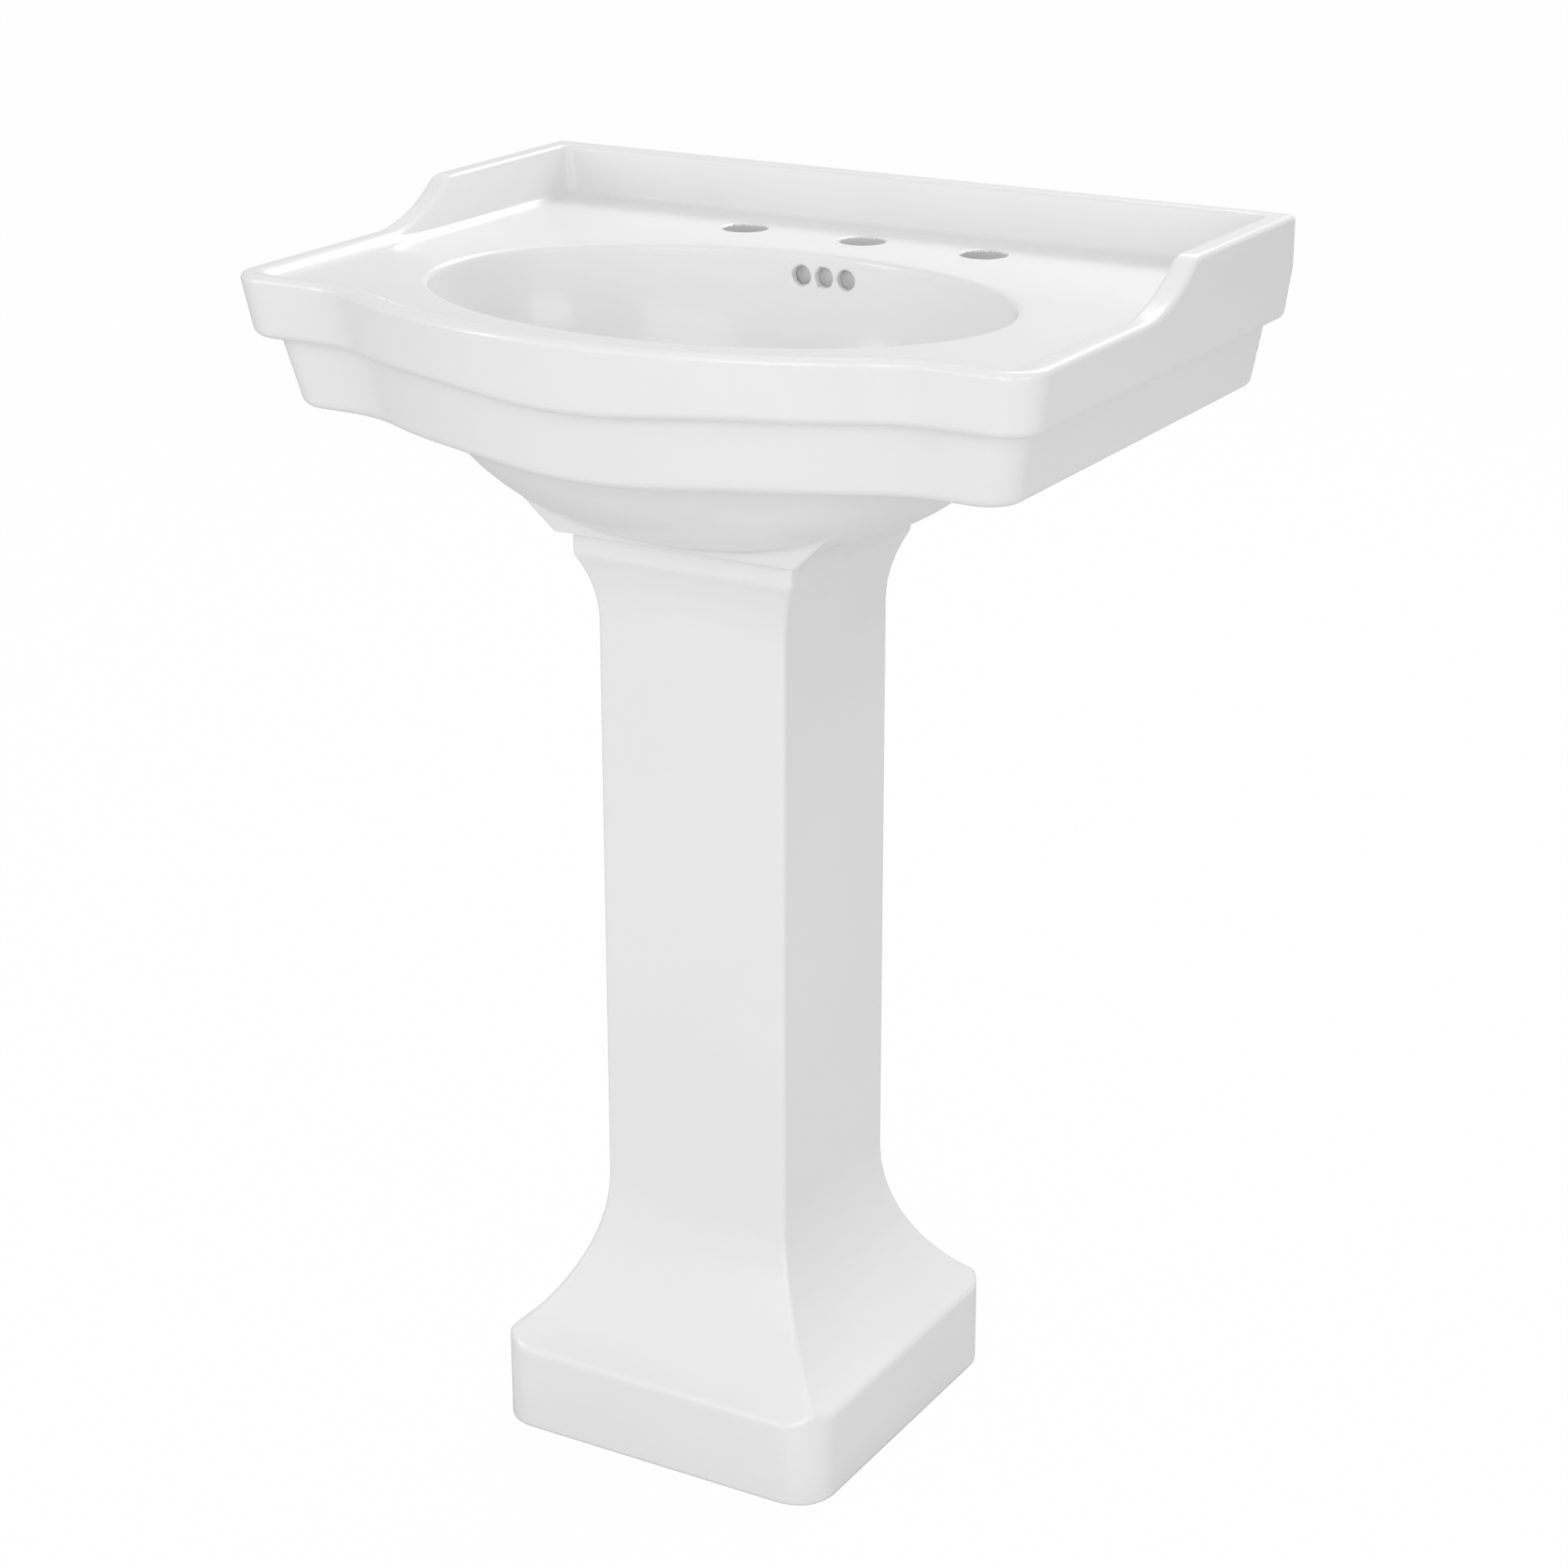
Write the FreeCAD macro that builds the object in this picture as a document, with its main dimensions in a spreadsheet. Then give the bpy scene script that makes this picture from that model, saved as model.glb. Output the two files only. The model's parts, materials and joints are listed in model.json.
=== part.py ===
import FreeCAD, Part
import math
import os

import Sketcher
from FreeCAD import Matrix, Placement, Rotation, Vector

# Pedestal bathroom sink: a vitreous china basin on a hollow square pedestal, with its pop-up drain
# and trap. The origin is on the floor, under the middle of the basin; +X is to the user's right,
# +Y is towards the wall and +Z is up. Lengths are millimetres.

SIZES = {
    # basin, seen from above
    "basin_half_width": 316.5,
    "wall_face": 246.3,
    "bow_front": 246.3,
    "bow_radius": 416.0,
    "shoulder_front": 183.3,
    "shoulder_scoop": 80.0,
    "front_corner": 28.0,
    "band_corner": 25.0,
    # basin, levels and drafts
    "splash_top": 920.0,
    "rim_top": 888.5,
    "draft_start": 884.0,
    "fascia_bottom": 843.0,
    "fascia_inset": 6.0,
    "ledge_depth": 13.5,
    "band_bottom": 789.7,
    "band_draft": 0.2,
    "apron_dip": 6.0,
    "apron_dip_reach": 130.0,
    "skirt_wall": 12.0,
    # deck and raised edges
    "deck_top": 881.6,
    "deck_thickness": 12.0,
    "lip_width": 18.5,
    "splash_thickness": 17.0,
    "recess_corner": 9.0,
    "recess_cove": 3.5,
    "edge_round": 4.0,
    "lip_round": 3.0,
    "apron_round": 5.0,
    "wing_sweep": 120.0,
    "wing_crest": 20.0,
    "wing_foot": -11.8,
    # bowl
    "bowl_centre": -35.8,
    "bowl_half_width": 221.0,
    "bowl_half_depth": 152.5,
    "bowl_depth": 158.6,
    "bowl_fullness": 2.4,
    "shell_side": 18.9,
    "shell_end": 15.8,
    "shell_under": 17.0,
    "overflow_wall": 7.0,
    "overflow_gap": 7.0,
    "overflow_half_width": 32.0,
    "overflow_top": 873.5,
    "overflow_hole": 7.3,
    "overflow_pitch": 18.65,
    "overflow_level": 864.0,
    # neck under the basin
    "neck_bottom": 709.3,
    "neck_half": 98.5,
    "neck_side_flare": 1.034,
    "neck_front_flare": 0.173,
    "neck_wall": 20.0,
    # holes
    "faucet_hole": 17.5,
    "faucet_pitch": 101.6,
    "faucet_line": 175.2,
    "wall_bolt_hole": 6.0,
    "wall_bolt_pitch": 254.0,
    "wall_bolt_level": 826.0,
    # pedestal
    "column_half_width": 77.5,
    "column_half_depth": 76.0,
    "pedestal_wall": 11.0,
    "pedestal_top": 708.3,
    "capital_start": 640.0,
    "capital_end": 692.0,
    "capital_sweep": 111.0,
    "foot_start": 201.0,
    "foot_sweep": 167.0,
    "plinth_half_width": 141.4,
    "plinth_half_depth": 142.6,
    "plinth_corner": 30.9,
    "back_slot_half": 52.0,
    "lug_thickness": 14.0,
    "lug_hole": 4.5,
    "lug_hole_x": 96.0,
    "lug_hole_y": 108.0,
    "pad_width": 10.0,
    "pad_length": 36.0,
    # drain
    "drain_hole": 22.5,
    "drain_seat": 719.0,
    "drain_seat_radius": 34.0,
    "boss_radius": 34.0,
    "boss_bottom": 688.0,
    "flange_radius": 32.0,
    "flange_thickness": 3.2,
    "seal_thickness": 2.0,
    "drain_body_radius": 21.6,
    "drain_throat": 17.5,
    "drain_body_bottom": 636.0,
    "drain_tail_socket": 658.0,
    "window_height": 9.0,
    "window_width": 15.0,
    "window_level": 709.5,
    "taper_gasket_height": 12.0,
    "taper_gasket_radius": 31.0,
    "drain_washer_thickness": 2.0,
    "drain_nut_height": 11.0,
    "drain_nut_across_corners": 33.0,
    "pipe_radius": 15.875,
    "pipe_wall": 1.1,
    "tailpiece_bottom": 478.0,
    # pop-up plug, drawn raised
    "plug_travel": 9.0,
    "plug_radius": 18.8,
    "plug_seal_height": 3.4,
    "plug_stem_radius": 4.0,
    "plug_stem_bottom": 680.0,
    "guide_height": 8.0,
    "guide_level": 690.0,
    "guide_hub": 7.5,
    "fit": 0.1,
    "spring_wire": 0.8,
    "spring_radius": 6.0,
    "spring_turns": 4.5,
    "collar_level": 717.0,
    "collar_height": 3.0,
    "collar_radius": 7.4,
    # trap
    "trap_radius": 17.6,
    "trap_wall": 1.3,
    "trap_turn": 38.0,
    "trap_inlet_top": 515.0,
    "trap_turn_level": 462.0,
    "trap_outlet_top": 492.0,
    "arm_bottom": 468.0,
    "arm_level": 552.0,
    "arm_end": 166.0,
    "slip_nut_radius": 25.0,
    "slip_nut_height": 17.0,
    "slip_nut_lip": 3.0,
    "slip_washer_height": 5.0,
}

doc = FreeCAD.newDocument("pedestal_sink")
sheet = doc.addObject("Spreadsheet::Sheet", "Sizes")
for row, (alias, number) in enumerate(SIZES.items(), start=1):
    sheet.set("A%d" % row, alias)
    sheet.set("B%d" % row, str(number))
    sheet.setAlias("B%d" % row, alias)
doc.recompute()


def size(alias):
    """A driving dimension, read back from the spreadsheet."""
    return float(getattr(sheet, alias))


def value(expression):
    """What an expression in the spreadsheet's aliases comes to."""
    result = sheet.evalExpression(expression)
    return float(getattr(result, "Value", result))


# ---------------------------------------------------------------- helpers for parametric objects
def bind(thing, **expressions):
    """Bind properties to expressions; a double underscore stands for the dot of a sub-property."""
    for name, expression in expressions.items():
        thing.setExpression(name.replace("__", "."), expression)
    return thing


def place(thing, along_x="0", along_y="0", along_z="0"):
    """Bind an object's position to expressions."""
    thing.setExpression("Placement.Base.x", along_x)
    thing.setExpression("Placement.Base.y", along_y)
    thing.setExpression("Placement.Base.z", along_z)
    return thing


def primitive(kind, name, at=("0", "0", "0"), turn=None, **expressions):
    """A Part primitive whose sizes and position are bound to the spreadsheet."""
    thing = doc.addObject("Part::" + kind, name)
    if turn is not None:
        thing.Placement = Placement(Vector(0, 0, 0), turn)
    bind(thing, **expressions)
    return place(thing, *at)


def solid_feature(name, shape):
    """A document object that holds a shape worked out from the spreadsheet."""
    thing = doc.addObject("Part::Feature", name)
    thing.Shape = shape
    return thing


def boolean(kind, name, parts):
    """A fusion, common or compound of several objects."""
    thing = doc.addObject("Part::" + kind, name)
    if kind == "Compound":
        thing.Links = parts
    else:
        thing.Shapes = parts
        thing.Refine = False
    return thing


def following_edges(shape, outline, low, high, gap):
    """Numbers of the edges between two levels that keep within gap of a plan outline drawn at level 0."""
    numbers = []
    for number, edge in enumerate(shape.Edges, start=1):
        first, last = edge.ParameterRange
        points = [edge.valueAt(first + (last - first) * step / 4) for step in range(5)]
        if min(p.z for p in points) < low or max(p.z for p in points) > high:
            continue
        if all(outline.distToShape(Part.Vertex(p.x, p.y, 0))[0] < gap for p in points):
            numbers.append(number)
    return numbers


def rounded(name, base, radius, numbers):
    """The base with its numbered edges rounded."""
    thing = doc.addObject("Part::Fillet", name)
    thing.Base = base
    thing.Edges = [(number, radius, radius) for number in numbers]
    doc.recompute()
    return thing


def cut(name, base, *tools):
    """The base with the tools taken away."""
    tool = tools[0] if len(tools) == 1 else boolean("MultiFuse", name + "_tools", list(tools))
    thing = doc.addObject("Part::Cut", name)
    thing.Base = base
    thing.Tool = tool
    return thing


def origin_plane(body, role):
    """One of a body's own origin planes."""
    return [plane for plane in body.Origin.OriginFeatures if plane.Role == role][0]


def profile_sketch(body, name, corners):
    """A closed outline of straight lines in the body's XZ plane, each corner bound to two expressions."""
    sketch = body.newObject("Sketcher::SketchObject", name)
    sketch.AttachmentSupport = [(origin_plane(body, "XZ_Plane"), "")]
    sketch.MapMode = "FlatFace"
    draw_outline(sketch, [Vector(value(across), value(up), 0) for across, up in corners], corners)
    return sketch


def draw_outline(sketch, points, corners):
    """Straight lines round the points, each point held by its pair of expressions."""
    for index, point in enumerate(points):
        sketch.addGeometry(Part.LineSegment(point, points[(index + 1) % len(points)]), False)
    for index in range(len(points)):
        following = (index + 1) % len(points)
        sketch.addConstraint(Sketcher.Constraint("Coincident", index, 2, following, 1))
    for index, (across, up) in enumerate(corners):
        for direction, expression, number in (
            ("DistanceX", across, points[index].x),
            ("DistanceY", up, points[index].y),
        ):
            key = "%s_%d" % (direction, index)
            row = sketch.addConstraint(Sketcher.Constraint(direction, -1, 1, index, 1, number))
            sketch.renameConstraint(row, key)
            sketch.setExpression("Constraints." + key, expression)


def turned(name, corners, at=("0", "Sizes.bowl_centre", "0")):
    """A PartDesign body turned about the vertical axis from an outline of (radius, height) corners."""
    body = doc.addObject("PartDesign::Body", name)
    sketch = profile_sketch(body, name + "_profile", corners)
    turn = body.newObject("PartDesign::Revolution", name + "_turn")
    turn.Profile = sketch
    turn.ReferenceAxis = (sketch, ["V_Axis"])
    turn.Angle = 360
    body.Tip = turn
    place(body, *at)
    return body


def ring(name, inner, outer, bottom, top):
    """A plain turned ring."""
    return turned(name, [(inner, bottom), (outer, bottom), (outer, top), (inner, top)])


def upright(name, radius, bottom, height, across="0", along="0"):
    """A vertical Part cylinder."""
    return primitive("Cylinder", name, at=(across, along, bottom), Radius=radius, Height=height)


# ---------------------------------------------------------------- plan outlines and lofts
def arc(start, middle, end):
    return Part.Arc(start, middle, end).toShape()


def line(start, end):
    return Part.LineSegment(start, end).toShape()


def corner_arc(centre, radius, from_angle, to_angle):
    """A circular arc in plan between two angles in degrees."""
    angles = (from_angle, (from_angle + to_angle) / 2, to_angle)
    turns = [math.radians(angle) for angle in angles]
    points = [centre + Vector(math.cos(turn), math.sin(turn), 0) * radius for turn in turns]
    return arc(*points)


def basin_outline(inset, level, corner, back, back_corner=0.0):
    """The basin's plan, drawn in by inset: round front corners and a bow between two scoops."""
    half = size("basin_half_width") - inset
    front = inset - size("shoulder_front")
    scoop = size("shoulder_scoop") + inset
    bow = size("bow_radius") - inset
    bow_centre = Vector(0, size("bow_radius") - size("bow_front"), level)
    scoop_y = -size("shoulder_front") - size("shoulder_scoop")
    reach = math.sqrt((size("bow_radius") + size("shoulder_scoop")) ** 2 - (bow_centre.y - scoop_y) ** 2)
    scoop_centre = Vector(reach, scoop_y, level)
    towards_bow = (bow_centre - scoop_centre).normalize()
    join = scoop_centre + towards_bow * scoop
    scoop_top = scoop_centre + Vector(0, scoop, 0)
    scoop_middle = scoop_centre + (towards_bow + Vector(0, 1, 0)).normalize() * scoop

    def mirrored(point):
        return Vector(-point.x, point.y, point.z)

    corner_start = Vector(half, front + corner, level)
    corner_end = Vector(half - corner, front, level)
    edges = [
        line(Vector(half, back - back_corner, level), corner_start),
        corner_arc(Vector(half - corner, front + corner, level), corner, 0, -90),
        line(corner_end, scoop_top),
        arc(scoop_top, scoop_middle, join),
        arc(join, bow_centre - Vector(0, bow, 0), mirrored(join)),
        arc(mirrored(join), mirrored(scoop_middle), mirrored(scoop_top)),
        line(mirrored(scoop_top), mirrored(corner_end)),
        corner_arc(Vector(corner - half, front + corner, level), corner, -90, -180),
        line(mirrored(corner_start), Vector(-half, back - back_corner, level)),
        line(Vector(back_corner - half, back, level), Vector(half - back_corner, back, level)),
    ]
    if back_corner:
        centre = Vector(half - back_corner, back - back_corner, level)
        edges.insert(9, corner_arc(mirrored(centre), back_corner, 180, 90))
        edges.append(corner_arc(centre, back_corner, 90, 0))
    return Part.Wire(edges)


def lofted(*wires):
    """A solid with straight sides through the wires."""
    return Part.makeLoft(list(wires), True, True)


def prism(wire, height):
    """A wire's face raised straight up."""
    return Part.Face(wire).extrude(Vector(0, 0, height))


# ---------------------------------------------------------------- basin
REACH = 400.0  # further than the basin reaches from its middle


def below_apron(level):
    """Everything under an apron's lower edge, which dips in the middle of the front."""
    dip = size("apron_dip")
    far = size("apron_dip_reach")
    radius = (far**2 + dip**2) / (4 * dip)
    turn = math.asin(far / 2 / radius) / 2

    def sloping(side):
        middle = Vector(side * (far - radius * math.sin(turn)), 0, level - radius * (1 - math.cos(turn)))
        return middle, Vector(side * far, 0, level), Vector(side * far / 2, 0, level - dip / 2)

    left_middle, left_top, left_bend = sloping(-1)
    right_middle, right_top, right_bend = sloping(1)
    floor = level - size("neck_half")
    corners = [
        Vector(REACH, 0, level),
        Vector(REACH, 0, floor),
        Vector(-REACH, 0, floor),
        Vector(-REACH, 0, level),
    ]
    edges = [
        line(corners[3], left_top),
        arc(left_top, left_middle, left_bend),
        arc(left_bend, Vector(0, 0, level - dip), right_bend),
        arc(right_bend, right_middle, right_top),
        line(right_top, corners[0]),
        line(corners[0], corners[1]),
        line(corners[1], corners[2]),
        line(corners[2], corners[3]),
    ]
    face = Part.Face(Part.Wire(edges))
    face.translate(Vector(0, -REACH, 0))
    return face.extrude(Vector(0, 2 * REACH, 0))


def apron_blank():
    """The raised edges, the fascia and the stepped band under it, all solid inside."""
    wall = size("wall_face")
    corner = size("front_corner")
    start = size("draft_start")
    fascia_level = size("fascia_bottom")
    overlap = size("apron_dip") * 2
    fascia_low = fascia_level - overlap
    fascia_draft = size("fascia_inset") / (start - fascia_level)
    edge_inset = size("fascia_inset") + size("ledge_depth")
    band_high = fascia_level + overlap
    band_low = size("band_bottom") - overlap
    upper = prism(basin_outline(0, start, corner, wall), size("splash_top") - start)
    fascia = lofted(
        basin_outline(0, start, corner, wall),
        basin_outline(fascia_draft * (start - fascia_low), fascia_low, corner, wall),
    ).cut(below_apron(fascia_level))
    band_corner = size("band_corner")
    draft = size("band_draft")
    band = lofted(
        basin_outline(edge_inset - draft * overlap, band_high, band_corner, wall),
        basin_outline(edge_inset + draft * (fascia_level - band_low), band_low, band_corner, wall),
    ).cut(below_apron(size("band_bottom")))
    return upper.fuse([fascia, band]).removeSplitter()


def above_wings():
    """What is cut away above the rim, up to the sweep where each wing rises to the splash-back."""
    rim = size("rim_top")
    top = size("splash_top")
    sweep = size("wing_sweep")
    crest = size("wing_crest")
    foot = size("wing_foot")
    rise = sweep + rim - (top - crest)
    crest_y = foot + math.sqrt((sweep + crest) ** 2 - rise**2)
    foot_centre = Vector(0, foot, rim + sweep)
    crest_centre = Vector(0, crest_y, top - crest)
    towards_crest = (crest_centre - foot_centre).normalize()
    join = foot_centre + towards_crest * sweep
    sweep_middle = foot_centre + (towards_crest + Vector(0, 0, -1)).normalize() * sweep
    crest_middle = crest_centre + (Vector(0, 0, 1) - towards_crest).normalize() * crest
    clear = Vector(0, 0, size("wing_crest") * 2)
    start = Vector(0, -REACH, rim)
    bend = Vector(0, foot, rim)
    end = Vector(0, crest_y, top)
    face = Part.Face(
        Part.Wire(
            [
                line(start, bend),
                arc(bend, sweep_middle, join),
                arc(join, crest_middle, end),
                line(end, end + clear),
                line(end + clear, Vector(0, -REACH, top) + clear),
                line(Vector(0, -REACH, top) + clear, start),
            ]
        )
    )
    face.translate(Vector(-REACH, 0, 0))
    return face.extrude(Vector(2 * REACH, 0, 0))


def deck_recess():
    """The space above the deck and inside the raised edges, with a cove round its floor."""
    inner_back = size("wall_face") - size("splash_thickness")
    corner = size("recess_corner")
    floor = size("deck_top")
    outline = basin_outline(size("lip_width"), floor, corner, inner_back, corner)
    block = prism(outline, size("splash_top") + corner - floor)
    floor_edges = [e for e in block.Edges if abs(e.BoundBox.ZMax - floor) < 0.01]
    return block.makeFillet(size("recess_cove"), floor_edges)


def skirt_cavity():
    """The open underside between the skirt and the bowl."""
    wall = size("skirt_wall")
    back = size("wall_face") - wall
    edge_inset = size("fascia_inset") + size("ledge_depth")
    step = size("fascia_bottom") + wall
    low = size("band_bottom") - 2 * size("apron_dip")
    draft = size("band_draft")
    deck_underside = size("deck_top") - size("deck_thickness")
    corner = size("band_corner") - wall
    lower = lofted(
        basin_outline(edge_inset + wall - draft * wall, step, corner, back),
        basin_outline(edge_inset + wall + draft * (size("fascia_bottom") - low), low, corner, back),
    )
    upper = prism(basin_outline(size("fascia_inset") + wall, step, corner, back), deck_underside - step)
    return lower.fuse(upper)


def bowl_form(grow_side, grow_end, grow_under, collar):
    """A bowl-shaped solid, half a superellipsoid, larger than the bowl's inside by the three amounts."""
    fullness = 2.0 / size("bowl_fullness")
    steps = 10
    points = []
    for step in range(steps + 1):
        angle = math.pi / 2 * step / steps
        across = math.cos(angle) ** fullness if step < steps else 0.0
        points.append(Vector(across, 0, -(math.sin(angle) ** fullness)))
    curve = Part.BSplineCurve()
    curve.interpolate(Points=points, InitialTangent=Vector(0, 0, -1), FinalTangent=Vector(-1, 0, 0))
    mouth = Vector(1, 0, collar)
    edges = [curve.toShape(), line(points[-1], Vector(0, 0, collar)), line(Vector(0, 0, collar), mouth)]
    if collar:
        edges.append(line(mouth, points[0]))
    half_section = Part.Face(Part.Wire(Part.__sortEdges__(edges)))
    round_form = half_section.revolve(Vector(0, 0, 0), Vector(0, 0, 1), 360)
    stretch = Matrix()
    stretch.scale(
        size("bowl_half_width") + grow_side,
        size("bowl_half_depth") + grow_end,
        size("bowl_depth") + grow_under,
    )
    form = round_form.transformGeometry(stretch)
    form.translate(Vector(0, size("bowl_centre"), size("deck_top")))
    return form


def box_between(low, high):
    """A box given by two opposite corners."""
    low, high = Vector(*low), Vector(*high)
    return Part.makeBox(high.x - low.x, high.y - low.y, high.z - low.z, low)


def overflow_slab(grow):
    """The strip behind the bowl, grown from the bowl's inside by grow, that holds the overflow passage."""
    middle = size("bowl_centre")
    strip = box_between(
        (-size("overflow_half_width"), middle, 0), (size("overflow_half_width"), REACH, size("overflow_top"))
    )
    return bowl_form(grow, grow, grow, 0).common(strip)


def neck_form(half, high):
    """A tapering square block that widens upwards, mostly to the sides."""
    low = size("neck_bottom")

    def rectangle(level):
        wide = half + size("neck_side_flare") * (level - low)
        deep = half + size("neck_front_flare") * (level - low)
        corners = [Vector(-wide, -deep, level), Vector(wide, -deep, level), Vector(wide, deep, level)]
        corners.append(Vector(-wide, deep, level))
        return Part.makePolygon(corners + corners[:1])

    return lofted(rectangle(low), rectangle(high))


def soften_skirt(skirt):
    """Round the raised edges and the lower edges of the fascia and the band."""
    skirt.Refine = True
    doc.recompute()
    wall = size("wall_face")
    rim = size("rim_top") - 0.1
    top = size("splash_top") + 0.1
    dip = size("apron_dip") + 0.1
    corner = size("recess_corner")
    outer = basin_outline(0, 0, size("front_corner"), wall)
    inner = basin_outline(size("lip_width"), 0, corner, wall - size("splash_thickness"), corner)
    outer_edges = following_edges(skirt.Shape, outer, rim, top, 0.1)
    skirt = rounded("skirt_outer", skirt, size("edge_round"), outer_edges)
    inner_edges = following_edges(skirt.Shape, inner, rim, top, 0.1)
    skirt = rounded("skirt_inner", skirt, size("lip_round"), inner_edges)
    beyond = wall + size("apron_round")
    fascia_low = size("fascia_bottom")
    band_low = size("band_bottom")
    edge_inset = size("fascia_inset") + size("ledge_depth") + size("band_draft") * (fascia_low - band_low)
    fascia = basin_outline(size("fascia_inset") + 0.4, 0, size("front_corner"), beyond)
    band = basin_outline(edge_inset + 0.6, 0, size("band_corner"), beyond)
    radius = size("apron_round")
    numbers = following_edges(skirt.Shape, fascia, fascia_low - dip, fascia_low + 0.1, 1.2)
    skirt = rounded("skirt_fascia", skirt, radius, numbers)
    numbers = following_edges(skirt.Shape, band, band_low - dip, band_low + 0.1, 1.8)
    return rounded("skirt_band", skirt, radius, numbers)


def make_basin():
    """The basin: one casting of deck, splash-back, wings, aprons, bowl, overflow passage and neck."""
    apron = solid_feature("apron_blank", apron_blank())
    hollow = [
        solid_feature("above_wings", above_wings()),
        solid_feature("deck_recess", deck_recess()),
        solid_feature("skirt_cavity", skirt_cavity()),
    ]
    skirt = soften_skirt(cut("skirt", apron, *hollow))

    inside_deck = size("deck_top") - size("deck_thickness") / 2
    neck_outside = solid_feature("neck_outside", neck_form(size("neck_half"), inside_deck))
    neck_inside = solid_feature("neck_inside", neck_form(size("neck_half") - size("neck_wall"), inside_deck))
    neck = cut("neck", neck_outside, neck_inside)

    shell_form = bowl_form(size("shell_side"), size("shell_end"), size("shell_under"), 0)
    shell = solid_feature("bowl_shell", shell_form)
    wall = size("overflow_wall")
    gap = size("overflow_gap")
    rib_form = bowl_form(2 * wall + gap, 2 * wall + gap, 2 * wall + gap, 0)
    rib_side = size("overflow_half_width") + wall
    rib_strip = box_between((-rib_side, size("bowl_centre"), 0), (rib_side, REACH, inside_deck))
    rib = solid_feature("overflow_rib", rib_form.common(rib_strip))
    boss = upright(
        "drain_boss",
        "Sizes.boss_radius",
        "Sizes.boss_bottom",
        "Sizes.drain_seat + Sizes.overflow_wall - Sizes.boss_bottom",
        along="Sizes.bowl_centre",
    )
    casting = skirt
    for number, piece in enumerate((neck, shell, rib, boss), start=1):
        casting = boolean("MultiFuse", "casting_%d" % number, [casting, piece])

    collar = 2 * size("wing_crest") / size("bowl_depth")
    bowl_inside = solid_feature("bowl_inside", bowl_form(0, 0, 0, collar))
    passage_form = overflow_slab(wall + gap).cut(bowl_form(wall, wall, wall, 0))
    passage = solid_feature("overflow_passage", passage_form)
    seat = upright(
        "drain_recess",
        "Sizes.drain_seat_radius",
        "Sizes.drain_seat",
        "Sizes.boss_radius",
        along="Sizes.bowl_centre",
    )
    drain_bore = upright(
        "drain_bore",
        "Sizes.drain_hole",
        "Sizes.boss_bottom - Sizes.boss_radius",
        "3 * Sizes.boss_radius",
        along="Sizes.bowl_centre",
    )
    for name, hollow in (("bowl_cut", bowl_inside), ("passage_cut", passage), ("seat_cut", seat)):
        casting = cut(name, casting, hollow)
    openings = [drain_bore]
    into_wall = Rotation(Vector(1, 0, 0), -90)
    for number in (-1, 0, 1):
        openings.append(
            upright(
                "faucet_hole_%d" % (number + 2),
                "Sizes.faucet_hole",
                "Sizes.deck_top - 2 * Sizes.deck_thickness",
                "4 * Sizes.deck_thickness",
                across="%d * Sizes.faucet_pitch" % number,
                along="Sizes.faucet_line",
            )
        )
        openings.append(
            primitive(
                "Cylinder",
                "overflow_hole_%d" % (number + 2),
                at=("%d * Sizes.overflow_pitch" % number, "0", "Sizes.overflow_level"),
                turn=into_wall,
                Radius="Sizes.overflow_hole",
                Height="Sizes.bowl_half_depth + Sizes.bowl_centre + 1.5 * Sizes.overflow_wall",
            )
        )
    for side in (-1, 1):
        openings.append(
            primitive(
                "Cylinder",
                "wall_bolt_hole_%d" % (side + 2),
                at=(
                    "%d * Sizes.wall_bolt_pitch / 2" % side,
                    "Sizes.wall_face - 2 * Sizes.skirt_wall",
                    "Sizes.wall_bolt_level",
                ),
                turn=into_wall,
                Radius="Sizes.wall_bolt_hole",
                Height="3 * Sizes.skirt_wall",
            )
        )
    return cut("basin", casting, *openings)


# ---------------------------------------------------------------- pedestal
def flared_face(half, plinth_half, wall):
    """The pedestal's side view: plinth, concave foot, plain shaft and concave capital, drawn in by wall."""
    foot = size("foot_sweep")
    cap = size("capital_sweep")
    foot_centre = Vector(half + foot, 0, size("foot_start"))
    cap_centre = Vector(half + cap, 0, size("capital_start"))
    foot_radius = foot + wall
    cap_radius = cap + wall
    plinth = plinth_half - wall
    shaft = half - wall
    foot_drop = math.sqrt(foot_radius**2 - (foot_centre.x - plinth) ** 2)
    foot_angle = math.asin(foot_drop / foot_radius) / 2
    cap_rise = size("capital_end") - size("capital_start")
    cap_angle = math.asin(cap_rise / cap_radius) / 2
    low = -wall
    high = size("pedestal_top") + wall

    def on_foot(angle):
        return foot_centre - Vector(math.cos(angle), 0, math.sin(angle)) * foot_radius

    def on_cap(angle):
        return cap_centre + Vector(-math.cos(angle), 0, math.sin(angle)) * cap_radius

    def mirrored(points):
        return [Vector(-point.x, 0, point.z) for point in points]

    plinth_top = on_foot(2 * foot_angle)
    cap_top = on_cap(2 * cap_angle)
    right = [
        Vector(plinth, 0, low),
        plinth_top,
        on_foot(foot_angle),
        Vector(shaft, 0, size("foot_start")),
        Vector(shaft, 0, size("capital_start")),
        on_cap(cap_angle),
        cap_top,
        Vector(cap_top.x, 0, high),
    ]
    edges = []
    for side in (right, mirrored(right)):
        edges += [
            line(side[0], side[1]),
            arc(side[1], side[2], side[3]),
            line(side[3], side[4]),
            arc(side[4], side[5], side[6]),
            line(side[6], side[7]),
        ]
    edges += [line(right[0], mirrored(right)[0]), line(right[-1], mirrored(right)[-1])]
    return Part.Face(Part.Wire(Part.__sortEdges__(edges)))


def rounded_block(half_width, half_depth, corner, low, high):
    """An upright block with round vertical corners."""
    block = box_between((-half_width, -half_depth, low), (half_width, half_depth, high))
    upright_edges = [e for e in block.Edges if e.BoundBox.ZLength > (high - low) / 2]
    return block.makeFillet(corner, upright_edges)


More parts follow.
